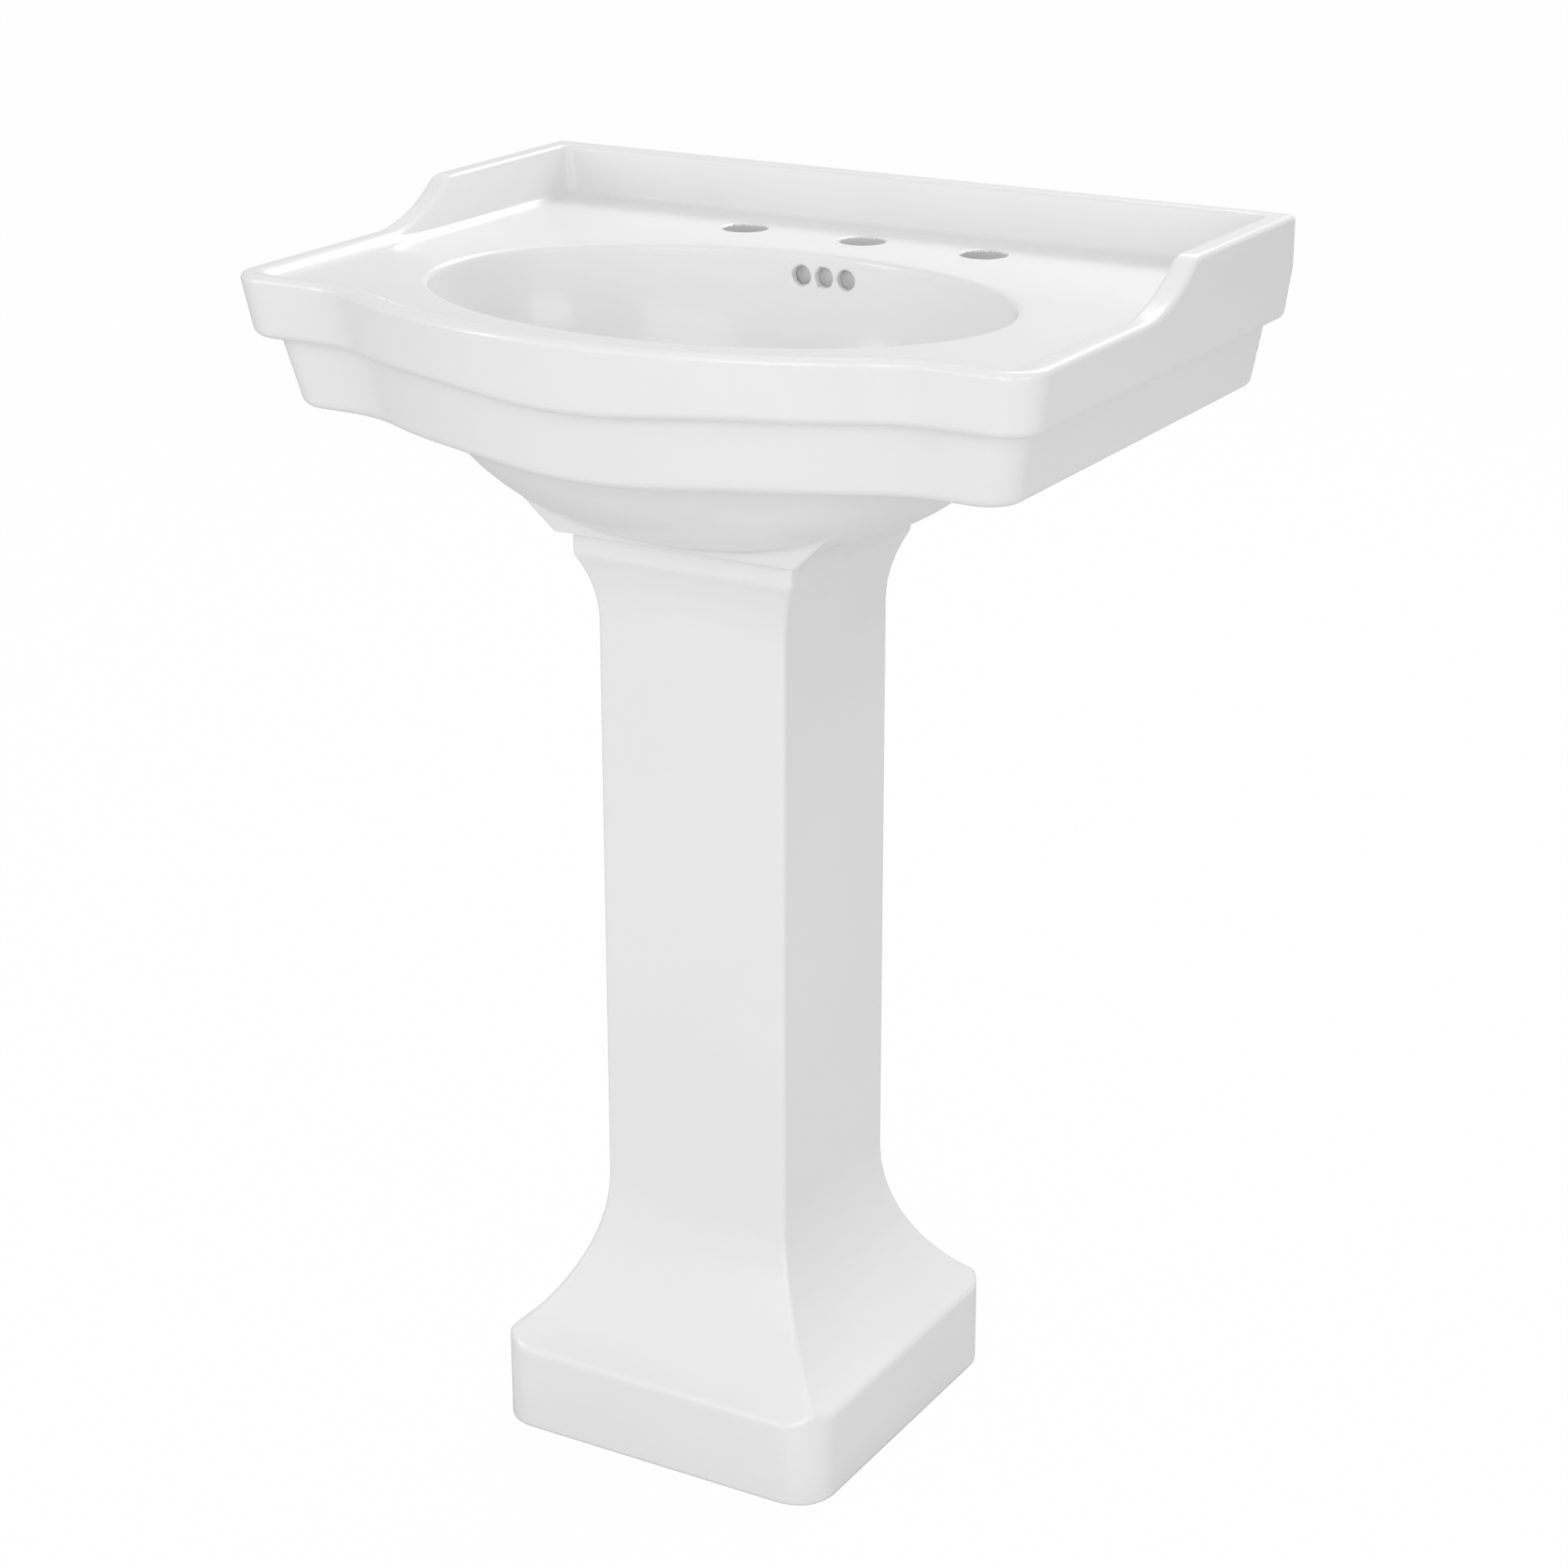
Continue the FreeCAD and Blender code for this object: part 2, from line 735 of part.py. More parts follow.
def pedestal_form(wall):
    """The pedestal's shape, drawn in by wall: two side views crossed, inside the plinth's round corners."""
    wide = flared_face(size("column_half_width"), size("plinth_half_width"), wall)
    deep = flared_face(size("column_half_depth"), size("plinth_half_depth"), wall)
    deep.rotate(Vector(0, 0, 0), Vector(0, 0, 1), 90)
    wide.translate(Vector(0, -REACH, 0))
    deep.translate(Vector(-REACH, 0, 0))
    crossed = wide.extrude(Vector(0, 2 * REACH, 0)).common(deep.extrude(Vector(2 * REACH, 0, 0)))
    limits = rounded_block(
        size("plinth_half_width") - wall,
        size("plinth_half_depth") - wall,
        size("plinth_corner") - wall,
        -wall,
        size("pedestal_top") + wall,
    )
    return crossed.common(limits)


def make_pedestal():
    """The pedestal: a hollow casting, open along the back, with two lugs for floor screws."""
    outside = solid_feature("pedestal_outside", pedestal_form(0.0).removeSplitter())
    inside = solid_feature("pedestal_inside", pedestal_form(size("pedestal_wall")))
    shell = cut("pedestal_shell", outside, inside)
    lugs = []
    for side in (-1, 1):
        middle = "%d * Sizes.lug_hole_x" % side
        lugs.append(
            primitive(
                "Box",
                "lug_%d" % (side + 2),
                at=(middle + " - Sizes.plinth_corner", "Sizes.lug_hole_y - Sizes.plinth_corner", "0"),
                Length="2 * Sizes.plinth_corner",
                Width="2 * Sizes.plinth_corner",
                Height="Sizes.lug_thickness",
            )
        )
    lug_pair = boolean("MultiFuse", "lug_blocks", lugs)
    fitted = boolean("MultiCommon", "lugs", [lug_pair, outside])
    casting = boolean("MultiFuse", "pedestal_casting", [shell, fitted])
    slot = primitive(
        "Box",
        "back_slot",
        at=("-Sizes.back_slot_half", "Sizes.column_half_depth / 2", "-Sizes.pedestal_wall"),
        Length="2 * Sizes.back_slot_half",
        Width="2 * Sizes.plinth_half_depth",
        Height="Sizes.pedestal_top + 2 * Sizes.pedestal_wall",
    )
    holes = [
        upright(
            "lug_hole_%d" % (side + 2),
            "Sizes.lug_hole",
            "-Sizes.lug_thickness",
            "3 * Sizes.lug_thickness",
            across="%d * Sizes.lug_hole_x" % side,
            along="Sizes.lug_hole_y",
        )
        for side in (-1, 1)
    ]
    return cut("pedestal", casting, slot, *holes)


def make_bearing_pads():
    """Four rubber pads on the pedestal's side walls, under the basin's neck."""
    wall_middle = "(Sizes.neck_half - Sizes.neck_wall / 2 - Sizes.pad_width / 2)"
    pads = []
    for side_x in (-1, 1):
        for side_y in (-1, 1):
            pad = primitive(
                "Box",
                "bearing_pad_%d" % (len(pads) + 1),
                at=(
                    "%d * %s - Sizes.pad_width / 2" % (side_x, wall_middle),
                    "%d * Sizes.pad_length * 1.4 - Sizes.pad_length / 2" % side_y,
                    "Sizes.pedestal_top",
                ),
                Length="Sizes.pad_width",
                Width="Sizes.pad_length",
                Height="Sizes.neck_bottom - Sizes.pedestal_top",
            )
            pads.append(pad)
    return boolean("Compound", "bearing_pads", pads)


# ---------------------------------------------------------------- drain
AXIS = ("0", "Sizes.bowl_centre", "0")  # the drain's axis
FLANGE_UNDER = "(Sizes.drain_seat + Sizes.seal_thickness)"
FLANGE_TOP = "(Sizes.drain_seat + Sizes.seal_thickness + Sizes.flange_thickness)"
GASKET_LOW = "(Sizes.boss_bottom - Sizes.taper_gasket_height)"
WASHER_LOW = "(%s - Sizes.drain_washer_thickness)" % GASKET_LOW
SLEEVE = "(Sizes.drain_body_radius + 3 * Sizes.fit)"  # bore of what slides over the drain body
MOUTH = "(Sizes.plug_radius + 1.2)"
PLUG_LOW = "(Sizes.drain_seat + Sizes.plug_travel)"  # underside of the raised plug's cap
SEAL_LOW = "(%s - Sizes.plug_seal_height)" % PLUG_LOW


def make_drain_body():
    """The drain's flanged body with a window on each side for the overflow water."""
    body = turned(
        "drain_body",
        [
            ("Sizes.pipe_radius + Sizes.fit", "Sizes.drain_body_bottom"),
            ("Sizes.drain_body_radius", "Sizes.drain_body_bottom"),
            ("Sizes.drain_body_radius", FLANGE_UNDER),
            ("Sizes.flange_radius", FLANGE_UNDER),
            ("Sizes.flange_radius", FLANGE_UNDER + " + Sizes.flange_thickness / 3"),
            ("Sizes.flange_radius - 3", FLANGE_TOP),
            (MOUTH + " + 1", FLANGE_TOP),
            (MOUTH, FLANGE_TOP + " - 1"),
            (MOUTH, "Sizes.drain_seat - Sizes.plug_seal_height - 2 * Sizes.fit"),
            ("Sizes.drain_throat", "Sizes.drain_seat - 2 * Sizes.plug_seal_height"),
            ("Sizes.drain_throat", "Sizes.drain_tail_socket"),
            ("Sizes.pipe_radius + Sizes.fit", "Sizes.drain_tail_socket"),
        ],
    )
    doc.recompute()
    before = body.Shape.Volume
    windows = body.newObject("Sketcher::SketchObject", "window_outline")
    windows.AttachmentSupport = [(origin_plane(body, "XZ_Plane"), "")]
    windows.MapMode = "FlatFace"
    half = value("Sizes.window_width") / 2
    low = value("Sizes.window_level - Sizes.window_height / 2")
    high = value("Sizes.window_level + Sizes.window_height / 2")
    corners = [Vector(-half, low, 0), Vector(half, low, 0), Vector(half, high, 0), Vector(-half, high, 0)]
    expressions = [
        ("-Sizes.window_width / 2", "Sizes.window_level - Sizes.window_height / 2"),
        ("Sizes.window_width / 2", "Sizes.window_level - Sizes.window_height / 2"),
        ("Sizes.window_width / 2", "Sizes.window_level + Sizes.window_height / 2"),
        ("-Sizes.window_width / 2", "Sizes.window_level + Sizes.window_height / 2"),
    ]
    draw_outline(windows, corners, expressions)
    pocket = body.newObject("PartDesign::Pocket", "overflow_windows")
    pocket.Profile = windows
    pocket.Type = 1
    pocket.Midplane = True
    body.Tip = pocket
    doc.recompute()
    if not body.Shape.Volume < before:
        raise RuntimeError("the overflow windows cut nothing")
    return body


def hex_nut(name, bottom, height, circumradius, bore, at_y="Sizes.bowl_centre"):
    """A hexagonal nut round a vertical axis."""
    block = primitive(
        "Prism", name + "_block", at=("0", at_y, bottom), Circumradius=circumradius, Height=height
    )
    block.Polygon = 6
    hole = upright(name + "_bore", bore, bottom + " - " + height, "3 * " + height, along=at_y)
    return cut(name, block, hole)


def make_drain_fixings():
    """What clamps the drain body in the basin: gaskets, a slip washer and the nut."""
    return [
        ring("flange_seal", SLEEVE, "Sizes.flange_radius - 1", "Sizes.drain_seat", FLANGE_UNDER),
        turned(
            "overflow_gasket",
            [
                (SLEEVE, GASKET_LOW),
                ("Sizes.taper_gasket_radius - 5", GASKET_LOW),
                ("Sizes.taper_gasket_radius", "Sizes.boss_bottom - 3"),
                ("Sizes.taper_gasket_radius", "Sizes.boss_bottom"),
                (SLEEVE, "Sizes.boss_bottom"),
            ],
        ),
        ring("drain_washer", SLEEVE, "Sizes.taper_gasket_radius - 2", WASHER_LOW, GASKET_LOW),
        hex_nut(
            "drain_nut",
            WASHER_LOW + " - Sizes.drain_nut_height",
            "Sizes.drain_nut_height",
            "Sizes.drain_nut_across_corners",
            "Sizes.drain_body_radius + Sizes.fit",
        ),
        ring(
            "tailpiece",
            "Sizes.pipe_radius - Sizes.pipe_wall",
            "Sizes.pipe_radius",
            "Sizes.tailpiece_bottom",
            "Sizes.drain_tail_socket - 2 * Sizes.pipe_wall",
        ),
    ]


def make_plug():
    """The pop-up plug, raised: a domed cap on its stem, with a seal ring under the cap."""
    cap = turned(
        "plug_cap",
        [
            ("Sizes.plug_stem_radius", PLUG_LOW),
            ("Sizes.plug_radius - 1", PLUG_LOW),
            ("Sizes.plug_radius", PLUG_LOW + " + 1"),
            ("Sizes.plug_radius", PLUG_LOW + " + 2.6"),
            ("Sizes.plug_radius - 1.5", PLUG_LOW + " + 4"),
            ("Sizes.plug_radius - 8", PLUG_LOW + " + 5.2"),
            ("Sizes.plug_stem_radius", PLUG_LOW + " + 5.6"),
        ],
    )
    seal_bore = "Sizes.plug_stem_radius + Sizes.fit"
    seal = ring("plug_seal", seal_bore, "Sizes.plug_radius + 0.9", SEAL_LOW, PLUG_LOW)
    stem = turned(
        "plug_stem",
        [
            ("0", "Sizes.plug_stem_bottom"),
            ("Sizes.plug_stem_radius", "Sizes.plug_stem_bottom"),
            ("Sizes.plug_stem_radius", "Sizes.collar_level"),
            ("Sizes.collar_radius", "Sizes.collar_level"),
            ("Sizes.collar_radius", "Sizes.collar_level + Sizes.collar_height"),
            ("Sizes.plug_stem_radius", "Sizes.collar_level + Sizes.collar_height"),
            ("Sizes.plug_stem_radius", PLUG_LOW + " + 5.6"),
            ("0", PLUG_LOW + " + 5.6"),
        ],
    )
    return [cap, seal, stem]


def make_plug_guide():
    """The spoked disc inside the drain body that the plug's stem slides in."""
    inside = "(Sizes.drain_throat - Sizes.fit)"
    level = "Sizes.guide_level"
    tall = "Sizes.guide_height"
    disc = upright("guide_disc", inside, level, tall, along=AXIS[1])
    gap = upright("guide_gap", inside + " - 2.5", level + " - 1", tall + " + 2", along=AXIS[1])
    rim = cut("guide_rim", disc, gap)
    hub = upright("guide_hub_block", "Sizes.guide_hub", level, tall, along=AXIS[1])
    spokes = []
    for number in range(3):
        spoke = doc.addObject("Part::Box", "guide_spoke_%d" % (number + 1))
        spoke.Placement = Placement(Vector(0, 0, 0), Rotation(Vector(0, 0, 1), 90 + 120 * number))
        bind(spoke, Length=inside + " - 1", Width="2 * Sizes.pipe_wall", Height=tall)
        spokes.append(place(spoke, "0", AXIS[1], level))
    bore_radius = "Sizes.plug_stem_radius + Sizes.fit"
    bore = upright("guide_bore", bore_radius, level + " - " + tall, "3 * " + tall, along=AXIS[1])
    frame = boolean("MultiFuse", "guide_frame", [rim, hub] + spokes)
    return cut("plug_guide", frame, bore)


def make_plug_spring():
    """The coil spring between the guide's hub and the stem's collar."""
    wire = size("spring_wire")
    low = size("guide_level") + size("guide_height") + wire
    length = size("collar_level") - low - wire
    helix = Part.makeHelix(length / size("spring_turns"), length, size("spring_radius"))
    start = Vector(size("spring_radius"), 0, 0)
    section = Part.Wire([Part.makeCircle(wire * 0.94, start, Vector(0, 1, 0))])
    coil = Part.Wire(helix.Edges).makePipeShell([section], True, True)
    coil.translate(Vector(0, size("bowl_centre"), low))
    return solid_feature("plug_spring", coil)


# ---------------------------------------------------------------- trap
def swept_tube(name, path_edges, start, direction, outside, inside):
    """A round tube along a path that starts at a point in a direction."""
    path = Part.Wire(path_edges)

    def rod(radius):
        return path.makePipeShell([Part.Wire([Part.makeCircle(radius, start, direction)])], True, False)

    return solid_feature(name, rod(outside).cut(rod(inside)))


def make_trap_tubes():
    """The trap's U bend and the arm that leaves its outlet towards the wall."""
    turn = size("trap_turn")
    inlet_y = size("bowl_centre")
    outlet_y = inlet_y + 2 * turn
    inlet_top = Vector(0, inlet_y, size("trap_inlet_top"))
    inlet_low = Vector(0, inlet_y, size("trap_turn_level"))
    bottom = Vector(0, inlet_y + turn, size("trap_turn_level") - turn)
    outlet_low = Vector(0, outlet_y, size("trap_turn_level"))
    outlet_top = Vector(0, outlet_y, size("trap_outlet_top"))
    bend = swept_tube(
        "trap_bend",
        [line(inlet_top, inlet_low), arc(inlet_low, bottom, outlet_low), line(outlet_low, outlet_top)],
        inlet_top,
        Vector(0, 0, -1),
        size("trap_radius"),
        size("trap_radius") - size("trap_wall"),
    )
    arm_foot = Vector(0, outlet_y, size("arm_bottom"))
    arm_rise = Vector(0, outlet_y, size("arm_level") - turn)
    elbow_centre = Vector(0, outlet_y + turn, size("arm_level") - turn)
    elbow_middle = elbow_centre + Vector(0, -1, 1).normalize() * turn
    arm_level = Vector(0, outlet_y + turn, size("arm_level"))
    arm_end = Vector(0, size("arm_end"), size("arm_level"))
    arm = swept_tube(
        "trap_arm",
        [line(arm_foot, arm_rise), arc(arm_rise, elbow_middle, arm_level), line(arm_level, arm_end)],
        arm_foot,
        Vector(0, 0, 1),
        size("pipe_radius"),
        size("pipe_radius") - size("pipe_wall"),
    )
    return [bend, arm]


def make_slip_joint(name, tube_top, at_y):
    """A slip nut and its washer on the top end of the trap bend."""
    washer_top = "(%s + Sizes.slip_washer_height)" % tube_top
    washer = ring(
        name + "_slip_washer", "Sizes.pipe_radius + Sizes.fit", "Sizes.trap_radius", tube_top, washer_top
    )
    nut_top = "(%s + Sizes.slip_nut_lip)" % washer_top
    nut_low = "(%s - Sizes.slip_nut_height)" % nut_top
    block = primitive(
        "Prism",
        name + "_nut_block",
        at=("0", at_y, nut_low),
        Circumradius="Sizes.slip_nut_radius",
        Height="Sizes.slip_nut_height",
    )
    block.Polygon = 6
    socket = upright(
        name + "_nut_socket",
        "Sizes.trap_radius + 3 * Sizes.fit",
        nut_low + " - Sizes.slip_nut_lip",
        "Sizes.slip_nut_height",
        along=at_y,
    )
    mouth_radius = "Sizes.pipe_radius + 3 * Sizes.fit"
    mouth = upright(name + "_nut_mouth", mouth_radius, nut_low, "2 * Sizes.slip_nut_height", along=at_y)
    place(washer, "0", at_y, "0")
    return [washer, cut(name + "_slip_nut", block, socket, mouth)]


# ---------------------------------------------------------------- the whole sink
nodes = [make_basin(), make_pedestal(), make_bearing_pads(), make_drain_body()]
nodes += make_drain_fixings() + make_plug() + [make_plug_guide(), make_plug_spring()]
nodes += make_trap_tubes()
nodes += make_slip_joint("inlet", "Sizes.trap_inlet_top", "Sizes.bowl_centre")
nodes += make_slip_joint("outlet", "Sizes.trap_outlet_top", "(Sizes.bowl_centre + 2 * Sizes.trap_turn)")
doc.recompute()

for thing in doc.Objects:
    faults = [state for state in thing.State if state in ("Invalid", "Error")]
    if faults:
        raise RuntimeError("%s failed: %s" % (thing.Name, faults))

os.makedirs("parts", exist_ok=True)
for node in nodes:
    node.Label = node.Name
    shape = node.Shape
    if shape.isNull() or not shape.isValid() or not shape.Solids:
        raise RuntimeError("%s has no valid solid" % node.Name)
    shape.exportStep("parts/%s.step" % node.Label)
    print("%-20s %2d solid(s) %10.1f mm3" % (node.Label, len(shape.Solids), shape.Volume))
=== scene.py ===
import json
import math

import bpy
import numpy as np
import openvdb
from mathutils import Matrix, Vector


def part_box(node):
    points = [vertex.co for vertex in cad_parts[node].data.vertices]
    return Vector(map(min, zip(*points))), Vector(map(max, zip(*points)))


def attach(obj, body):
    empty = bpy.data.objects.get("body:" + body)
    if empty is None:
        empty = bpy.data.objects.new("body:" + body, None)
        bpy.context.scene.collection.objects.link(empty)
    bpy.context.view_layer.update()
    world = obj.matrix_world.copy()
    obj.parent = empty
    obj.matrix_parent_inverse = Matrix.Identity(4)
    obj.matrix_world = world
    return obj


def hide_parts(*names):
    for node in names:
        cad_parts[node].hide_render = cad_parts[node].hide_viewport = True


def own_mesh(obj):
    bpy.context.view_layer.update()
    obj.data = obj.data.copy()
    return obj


# Pedestal sink. The china is modelled as distance fields, meshed on a grid and settled onto the
# exact surface. The plug's cap and spring are swept shapes. All other metal, rubber and plastic
# pieces keep their shapes from the frame.
# Sizes below and lengths inside the fields are millimetres; everything in the scene is metres.

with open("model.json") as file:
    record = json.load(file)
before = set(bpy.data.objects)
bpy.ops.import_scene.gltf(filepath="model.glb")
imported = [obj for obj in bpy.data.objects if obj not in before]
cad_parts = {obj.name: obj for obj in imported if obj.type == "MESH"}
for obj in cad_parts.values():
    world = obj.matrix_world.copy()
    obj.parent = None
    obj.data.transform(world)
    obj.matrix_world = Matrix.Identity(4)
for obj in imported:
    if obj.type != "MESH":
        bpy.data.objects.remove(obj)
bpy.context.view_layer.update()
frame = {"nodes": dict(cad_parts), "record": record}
scene = bpy.context.scene
MM = 0.001


def box_mm(node):
    """The low and high corners of a node's box, in mm."""
    low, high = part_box(node)
    return np.array(low) / MM, np.array(high) / MM


def mount(name):
    """One of the record's mounts."""
    return [m for m in frame["record"]["mounts"] if m["name"] == name][0]


BASIN_LOW, BASIN_HIGH = box_mm("basin")
PED_LOW, PED_HIGH = box_mm("pedestal")

# ---------------------------------------------------------------- sizes the frame gives, in mm
HALF_WIDTH = BASIN_HIGH[0]
WALL_FACE = BASIN_HIGH[1]
BOW_FRONT = -BASIN_LOW[1]
SPLASH_TOP = BASIN_HIGH[2]
PEDESTAL_TOP = PED_HIGH[2]
PLINTH_X = PED_HIGH[0]
PLINTH_Y = -PED_LOW[1]
FAUCET = mount("faucet_hole_right")
FAUCET_PITCH = FAUCET["pos_m"][0] / MM
FAUCET_LINE = FAUCET["pos_m"][1] / MM
FAUCET_RADIUS = FAUCET["dims"]["r_mm"]
WALL_BOLTS = mount("wall_bolts")
DRAIN_LOW, DRAIN_HIGH = box_mm("drain_body")
DRAIN_LINE = (DRAIN_LOW[1] + DRAIN_HIGH[1]) / 2

# ---------------------------------------------------------------- the castings' other sizes, in mm
BOW_RADIUS = 416.0
SHOULDER_FRONT = 183.3
SCOOP = 80.0
FRONT_CORNER = 28.0
BAND_CORNER = 25.0
RIM_TOP = 888.5
DRAFT_START = 884.0
FASCIA_BOTTOM = 843.0
FASCIA_INSET = 6.0
LEDGE = 13.5
BAND_BOTTOM = 789.7
BAND_DRAFT = 0.2
APRON_DIP = 6.0
APRON_DIP_REACH = 130.0
SKIRT_WALL = 12.0
DECK_TOP = 881.6
DECK_THICKNESS = 12.0
SPLASH_THICKNESS = 17.0
SPLASH_LEAN = 0.03
WING_SWEEP = 120.0
WING_CREST = 20.0
WING_FOOT = -11.8
# widths of the raised edges at top and foot, at the front lip and beside the wings
LIP_HEAD = 14.5
LIP_FOOT = 23.0
WING_HEAD = 17.0
WING_BASE = 20.0
LIP_TO_WING = (-60.0, 50.0)
# the bowl's half widths, depth and the power of its curve, and its wall at sides, ends and bottom
BOWL_X = 221.0
BOWL_Y = 152.5
BOWL_DEPTH = 158.6
BOWL_FULLNESS = 2.4
SHELL = (18.9, 15.8, 17.0)
OVERFLOW_WALL = 7.0
OVERFLOW_GAP = 7.0
OVERFLOW_HALF = 32.0
OVERFLOW_TOP = 873.5
OVERFLOW_HOLE = 7.3
OVERFLOW_PITCH = 18.65
OVERFLOW_LEVEL = 864.0
OVERFLOW_BORE = 60.0
# the back of the passage stands nearer to the bowl above these levels
PASSAGE_STEP = 4.0
PASSAGE_STEP_LEVELS = (838.0, 852.0)
NECK_BOTTOM = 709.3
NECK_HALF = 98.5
NECK_SIDE_FLARE = 1.034
NECK_FRONT_FLARE = 0.173
NECK_WALL = 20.0
BOSS_RADIUS = 34.0
BOSS_BOTTOM = 688.0
BOSS_HEIGHT = 36.0
DRAIN_SEAT = 719.0
DRAIN_SEAT_RADIUS = 34.0
DRAIN_HOLE = 22.5
COLUMN_X = 77.5
COLUMN_Y = 76.0
PEDESTAL_WALL = 11.0
CAPITAL_START = 640.0
CAPITAL_END = 692.0
CAPITAL_SWEEP = 111.0
FOOT_START = 201.0
FOOT_SWEEP = 167.0
PLINTH_CORNER = 30.9
SLOT_HALF = 52.0
LUG_X = 96.0
LUG_Y = 108.0
LUG_TOP = 14.0
LUG_HOLE = 4.5
SHAFT_MIDDLE = (FOOT_START + CAPITAL_START) / 2

# ---------------------------------------------------------------- radii of edges and coves, in mm
RIM_EDGE = 4.5
BACK_EDGE = 4.0
FASCIA_EDGE = 6.0
BAND_EDGE = 6.5
LEDGE_COVE = 3.0
RECESS_EDGE = 3.0
RECESS_CORNER = 10.0
SPLASH_CORNER = 9.0
DECK_COVE = 5.0
BOWL_EDGE = 4.5
CAVITY_CORNER = 10.0
CAVITY_STEP_EDGE = 4.0
CAVITY_TOP_COVE = 6.0
CAVITY_OVERLAP = 6.0
SKIRT_EDGE = 4.0
RIB_EDGE = 7.0
RIB_FRONT_EDGE = 2.0
BOSS_EDGE = 3.0
DOME_COVE = 8.0
NECK_RIDGE = 1.8
NECK_EDGE = 1.2
NECK_INNER_EDGE = 3.0
NECK_COVE = 2.5
UNDER_DECK_COVE = 5.0
PASSAGE_EDGE = 2.0
PASSAGE_SIDE = 4.0
PASSAGE_TOP = 3.0
SEAT_COVE = 1.5
SEAT_EDGE = 2.0
FAUCET_EDGE = 1.2
OVERFLOW_EDGE = 1.2
BORE_EDGE = 1.0
PEDESTAL_RIDGE = 3.0
CAPITAL_EDGE = 1.2
PLINTH_EDGE = 3.0
FOOT_EDGE = 2.5
INNER_RIDGE = 6.0
INNER_EDGE = 3.0
SLOT_EDGE = 3.5
LUG_EDGE = 3.0

# ---------------------------------------------------------------- how near a bare surface is read, in mm; its grey also paints shade into hollows
CAVITY_SKIN = 1.0
BOWL_CLEARANCE = 2.0
WALL_SKIN = 0.3
HOLE_SKIN = 0.6
HOLE_GLAZE = 1.3  # how far the glaze runs down into a faucet hole
INSIDE_SKIN = 1.5
FOOT_RING = 1.0

# ---------------------------------------------------------------- plug and spring, in mm
CAP_RIM = 2.6
CAP_SIDE = 0.5
CAP_BEVEL = 1.0
CAP_STEPS = 24
DOME_RISE = 0.25
HEAD_GAP = 0.05
STEM_BORE = 4.05
PIN_HOLE = 0.02
DOME_START = 0.002  # radians from upright
CAP_SHARP = 0.7  # radians
ROUND_STEPS = 96
SPRING_WIRE = 0.75
SPRING_TURNS = 4.5
SPRING_STEPS = 160
WIRE_STEPS = 12
WIRE_SHARP = 1.2  # radians

# ---------------------------------------------------------------- meshing, in mm unless it says otherwise
CELL = 2.1
MERGING = 0.01  # how readily nearly flat faces are joined, from 0 to 1
SETTLE_REACH = 0.6  # in cells
SETTLE_ROUNDS = 4
EVENING_ROUNDS = 2
UNTANGLE_ROUNDS = 6
FOLDED = 0.75  # least agreement of a sound triangle
FOLD_KEPT = 0.3  # share of its own place that a folded triangle's point keeps
SLOPE_STEP = 0.15
SHADE_STEP = 0.4
SHADE_FROM = 1.6
SHADE_REACH = 2.2
LEAST_SLOPE = 0.05  # of a slope's square
TINY = 1e-9
TINY_AREA = 1e-6


# ---------------------------------------------------------------- distance fields
def both(a, b, radius):
    """Where both fields are solid, with the edge between them rounded."""
    rounded = np.hypot(np.maximum(a + radius, 0), np.maximum(b + radius, 0))
    return np.minimum(np.maximum(a, b), -radius) + rounded


def either(a, b, radius):
    """Where either field is solid, with a cove of that radius where they meet."""
    return -both(-a, -b, radius)


def minus(a, b, radius):
    """The first field with the second taken away, and the new edge rounded."""
    return both(a, -b, radius)


def blend_in(value, start, end):
    """0 below start, 1 above end, and smooth between."""
    share = np.clip((value - start) / (end - start), 0, 1)
    return share * share * (3 - 2 * share)


def bow(x, y):
    """Distance in plan in front of the basin's front edge: the bow, the scoops and the flat shoulders."""
    centre_y = BOW_RADIUS - BOW_FRONT
    scoop_y = -SHOULDER_FRONT - SCOOP
    scoop_x = math.sqrt((BOW_RADIUS + SCOOP) ** 2 - (centre_y - scoop_y) ** 2)
    ahead_of_bow = np.hypot(x, y - centre_y) - BOW_RADIUS
    ahead_of_scoop = SCOOP - np.hypot(x - scoop_x, y - scoop_y)
    ahead_of_shoulder = -SHOULDER_FRONT - y
    beside_bow = (x - scoop_x) * (centre_y - scoop_y) + (y - scoop_y) * scoop_x < 0
    near_bow = np.where(beside_bow, ahead_of_bow, ahead_of_scoop)
    return np.where(x > scoop_x, ahead_of_shoulder, near_bow)


def plan(front, side, inset, corner):
    """The basin's plan drawn in by inset, with round front corners."""
    return both(front + inset, side + inset, corner)


def above_rim(y, z):
    """Distance above the top of the raised edges: level rim, wing sweep and crest, level splash-back."""
    foot_z = RIM_TOP + WING_SWEEP
    crest_z = SPLASH_TOP - WING_CREST
    crest_y = WING_FOOT + math.sqrt((WING_SWEEP + WING_CREST) ** 2 - (foot_z - crest_z) ** 2)
    on_sweep = WING_SWEEP - np.hypot(y - WING_FOOT, z - foot_z)
    on_crest = np.hypot(y - crest_y, z - crest_z) - WING_CREST
    past_join = (y - WING_FOOT) * (foot_z - crest_z) + (z - foot_z) * (crest_y - WING_FOOT) > 0
    swept = np.where(past_join, on_crest, on_sweep)
    return np.where(y < WING_FOOT, z - RIM_TOP, np.where(y > crest_y, z - SPLASH_TOP, swept))


def rim_level(y):
    """Level of the top of the raised edges along the basin's side."""
    crest_y = WING_FOOT + math.sqrt(
        (WING_SWEEP + WING_CREST) ** 2 - (RIM_TOP + WING_SWEEP - SPLASH_TOP + WING_CREST) ** 2
    )
    return RIM_TOP + (SPLASH_TOP - RIM_TOP) * blend_in(y, WING_FOOT, crest_y)


